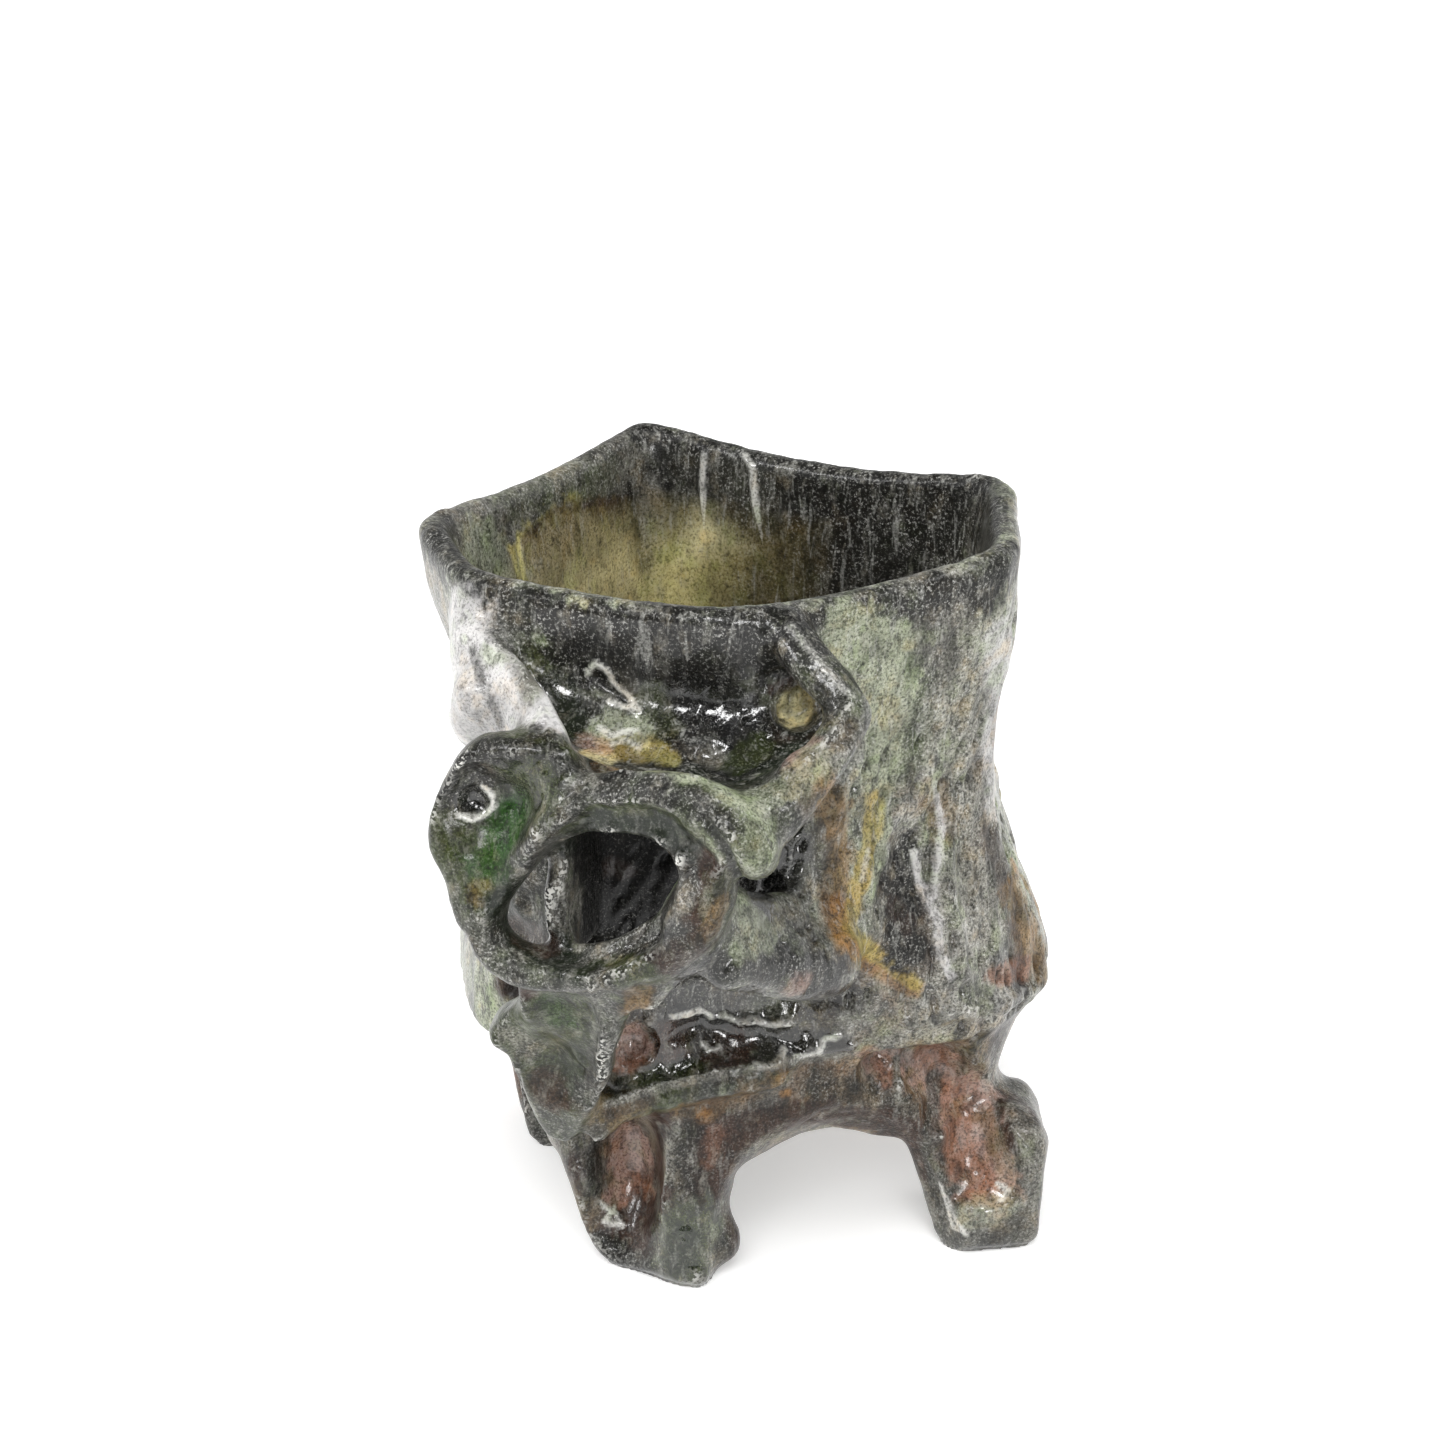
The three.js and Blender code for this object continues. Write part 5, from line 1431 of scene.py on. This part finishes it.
class MUG_OT_knead_clay(bpy.types.Operator):
    """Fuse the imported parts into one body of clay, knead it, lay the glaze on and cut it apart"""

    bl_idname = "mug.knead_clay"
    bl_label = "Knead the clay"

    def execute(self, context):
        scene = context.scene
        body = bpy.data.objects.new(CLAY, fused_parts(scene.mug_clay.swell))
        scene.collection.objects.link(body)
        clay, share, crest = modelled(body, scene.mug_clay)
        ridge, hollow = relief(clay)
        tint, gloss, calm = laid_on(clay, clay.eased(share, 9), crest, hollow, scene.mug_glaze)
        mesh = body.data
        for name, columns in (
            ("glaze", (tint, calm)),
            ("skin", (ridge, gloss, hollow, np.ones(len(tint)))),
        ):
            layer = mesh.attributes.new(name, "FLOAT_COLOR", "POINT")
            layer.data.foreach_set("color", np.column_stack(columns).ravel())
        layer = mesh.attributes.new("way", "FLOAT_VECTOR", "POINT")
        layer.data.foreach_set("vector", clay.normals().ravel())
        owner = owners(clay, clay.eased(share, 20))
        mesh.materials.clear()
        for name in NODES:
            mesh.materials.append(bpy.data.materials.new("part " + name))
        mesh.polygons.foreach_set("material_index", owner)
        for name, piece in shells_apart(body).items():
            piece.name = "clay " + name
        return {"FINISHED"}


class PiecesOperator:
    """What the operators for the parts share: the parts of each finish."""

    finishes = {}

    def execute(self, context):
        frost_and_highlight = context.scene.mug_glaze.frost_and_highlight[:]
        for finish, names in self.finishes.items():
            material = glazed(finish, frost_and_highlight)
            for name in names:
                finished(name, material)
        return {"FINISHED"}


class MUG_OT_cup(PiecesOperator, bpy.types.Operator):
    """Finish the pinched cup: its wall and its floor"""

    bl_idname = "mug.cup"
    bl_label = "Cup"
    finishes = {"dark_mottled_glaze": ("cup_wall",), "olive_pooled_glaze": ("cup_floor",)}


class MUG_OT_thumb_valley(PiecesOperator, bpy.types.Operator):
    """Finish the valley for the thumb, with the fold, the strap and the brace beside it"""

    bl_idname = "mug.thumb_valley"
    bl_label = "Thumb valley"
    finishes = {
        "dark_mottled_glaze": ("thumb_rest", "rear_brace"),
        "bone_grey_glaze": ("left_fold", "rim_strap"),
    }


class MUG_OT_finger_ring(PiecesOperator, bpy.types.Operator):
    """Finish the ring that a finger goes through, with its knuckle and its arm"""

    bl_idname = "mug.finger_ring"
    bl_label = "Finger ring"
    finishes = {"bone_grey_glaze": ("finger_ring", "knuckle_lobe", "side_arm")}


class MUG_OT_wings(PiecesOperator, bpy.types.Operator):
    """Finish the two green wings and the sill under them"""

    bl_idname = "mug.wings"
    bl_label = "Wings and sill"
    finishes = {"copper_green_glaze": ("upper_wing", "lower_wing", "lower_sill")}


class MUG_OT_pedestal(PiecesOperator, bpy.types.Operator):
    """Finish the carved pedestal: its deck and its four legs"""

    bl_idname = "mug.pedestal"
    bl_label = "Pedestal"
    finishes = {
        "rust_flashed_glaze": (
            "foot_deck", "front_left_leg", "front_right_leg", "back_right_leg", "back_left_leg")
    }


AIM = Vector((0, 0, 0.06))  # the middle of the mug, which every lamp faces
# Wide lamps that light the glaze without being mirrored in it: (name, place, share of the key).
LAMPS = (
    ("overhead", (-0.06, -0.46, 0.74), 6),
    ("left_wall", (-0.9, -0.05, 0.35), 2),
    ("right_wall", (0.9, 0.1, 0.35), 2),
)
LAMP_SIZE = (0.7, 0.7)
# Windows that are mirrored in the wet glaze without lighting it: (name, place, size).
WINDOWS = (
    ("front_window", (-0.14, -0.50, 0.46), (0.15, 0.11)),
    ("low_window", (0.25, -0.68, 0.26), (0.16, 0.12)),
    ("left_window", (-0.55, -0.30, 0.50), (0.16, 0.12)),
    ("right_window", (0.40, -0.22, 0.68), (0.16, 0.12)),
)


def hung(name, place, size, power):
    """A rectangular lamp that faces the mug."""
    data = bpy.data.lights.new(name, "AREA")
    data.shape = "RECTANGLE"
    data.size, data.size_y = size
    data.energy = power
    lamp = bpy.data.objects.new(name, data)
    bpy.context.scene.collection.objects.link(lamp)
    lamp.location = place
    lamp.rotation_euler = (AIM - Vector(place)).to_track_quat("-Z", "Y").to_euler()
    lamp.visible_camera = False
    return lamp


def white_tent(sky):
    """The light of the surroundings, as a world."""
    world = bpy.data.worlds.new("white_tent")
    world.use_nodes = True
    tree = world.node_tree
    tree.nodes.clear()
    way = node(tree, COORDINATES).outputs["Generated"]
    axes = node(tree, "ShaderNodeSeparateXYZ", Vector=way).outputs
    # the tent is white at the sides, grey behind, dim above, and open and dark at the front
    aside = node(tree, MATH, {"operation": "ABSOLUTE"}, i0=axes["X"])
    sides = node(tree, RANGE, {**SMOOTH, "From Min": 0.30, "From Max": 0.85, "To Min": 0.45},
                 Value=aside)
    front = node(tree, RANGE, {**SMOOTH, "From Min": -0.75, "From Max": -0.05, "To Min": 0.12},
                 Value=axes["Y"])
    above = node(tree, RANGE, {**SMOOTH, "From Min": 0.90, "From Max": 0.55, "To Min": 0.3},
                 Value=axes["Z"])
    light = node(tree, MATH, {"operation": "MULTIPLY"}, i0=front, i1=above)
    light = node(tree, MATH, {"operation": "MULTIPLY"}, i0=light, i1=sides)
    light = node(tree, MATH, {"operation": "MULTIPLY", "i1": sky}, i0=light)
    shine = node(tree, "ShaderNodeBackground", {"Color": WHITE}, Strength=light)
    node(tree, "ShaderNodeOutputWorld", Surface=shine)
    return world


class MUG_OT_stage(bpy.types.Operator):
    """Set the pale floor, the lights and the camera"""

    bl_idname = "mug.stage"
    bl_label = "Floor, light and camera"

    def execute(self, context):
        scene = context.scene
        settings = scene.mug_stage
        sheet = bmesh.new()
        bmesh.ops.create_grid(sheet, x_segments=1, y_segments=1, size=settings.floor_side / 2)
        mesh = bpy.data.meshes.new("floor")
        sheet.to_mesh(mesh)
        sheet.free()
        mesh.materials.append(paper("white_paper", settings.glow))
        floor = bpy.data.objects.new("floor", mesh)
        scene.collection.objects.link(floor)
        for name, place, share in LAMPS:
            lamp = hung(name, place, LAMP_SIZE, settings.key * share)
            lamp.visible_glossy = False
        for name, place, size in WINDOWS:
            window = hung(name, place, size, settings.window * math.pi * size[0] * size[1])
            window.visible_diffuse = False
        scene.world = white_tent(settings.sky)
        data = bpy.data.cameras.new("photo_camera")
        data.lens = CAMERA_LENS
        data.sensor_width = SENSOR
        data.clip_start = NEAR_CLIP
        camera = bpy.data.objects.new("photo_camera", data)
        camera.matrix_world = Matrix.Translation(CAMERA_PLACE) @ CAMERA_TURN
        scene.collection.objects.link(camera)
        scene.camera = camera
        scene.view_settings.view_transform = "Standard"
        return {"FINISHED"}


STEPS = (MUG_OT_knead_clay, MUG_OT_cup, MUG_OT_thumb_valley, MUG_OT_finger_ring, MUG_OT_wings,
         MUG_OT_pedestal, MUG_OT_stage)


class MUG_PT_panel(bpy.types.Panel):
    """The mug's making, step by step"""

    bl_idname = "MUG_PT_panel"
    bl_label = "Studio mug"
    bl_space_type = "VIEW_3D"
    bl_region_type = "UI"
    bl_category = "Mug"

    def draw(self, context):
        for operator in STEPS:
            self.layout.operator(operator.bl_idname)


CLASSES = (MUG_PG_clay, MUG_PG_glaze, MUG_PG_stage, *STEPS, MUG_PT_panel)


def register():
    """Adds the mug's settings, steps and panel."""
    for cls in CLASSES:
        bpy.utils.register_class(cls)
    bpy.types.Scene.mug_clay = PointerProperty(type=MUG_PG_clay)
    bpy.types.Scene.mug_glaze = PointerProperty(type=MUG_PG_glaze)
    bpy.types.Scene.mug_stage = PointerProperty(type=MUG_PG_stage)


def unregister():
    """Takes them away again."""
    for name in ("mug_stage", "mug_glaze", "mug_clay"):
        delattr(bpy.types.Scene, name)
    for cls in reversed(CLASSES):
        bpy.utils.unregister_class(cls)


def main():
    """Makes the mug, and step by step."""
    register()
    for operator in STEPS:
        group, name = operator.bl_idname.split(".")
        getattr(getattr(bpy.ops, group), name)()
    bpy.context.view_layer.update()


if __name__ == "__main__":
    main()
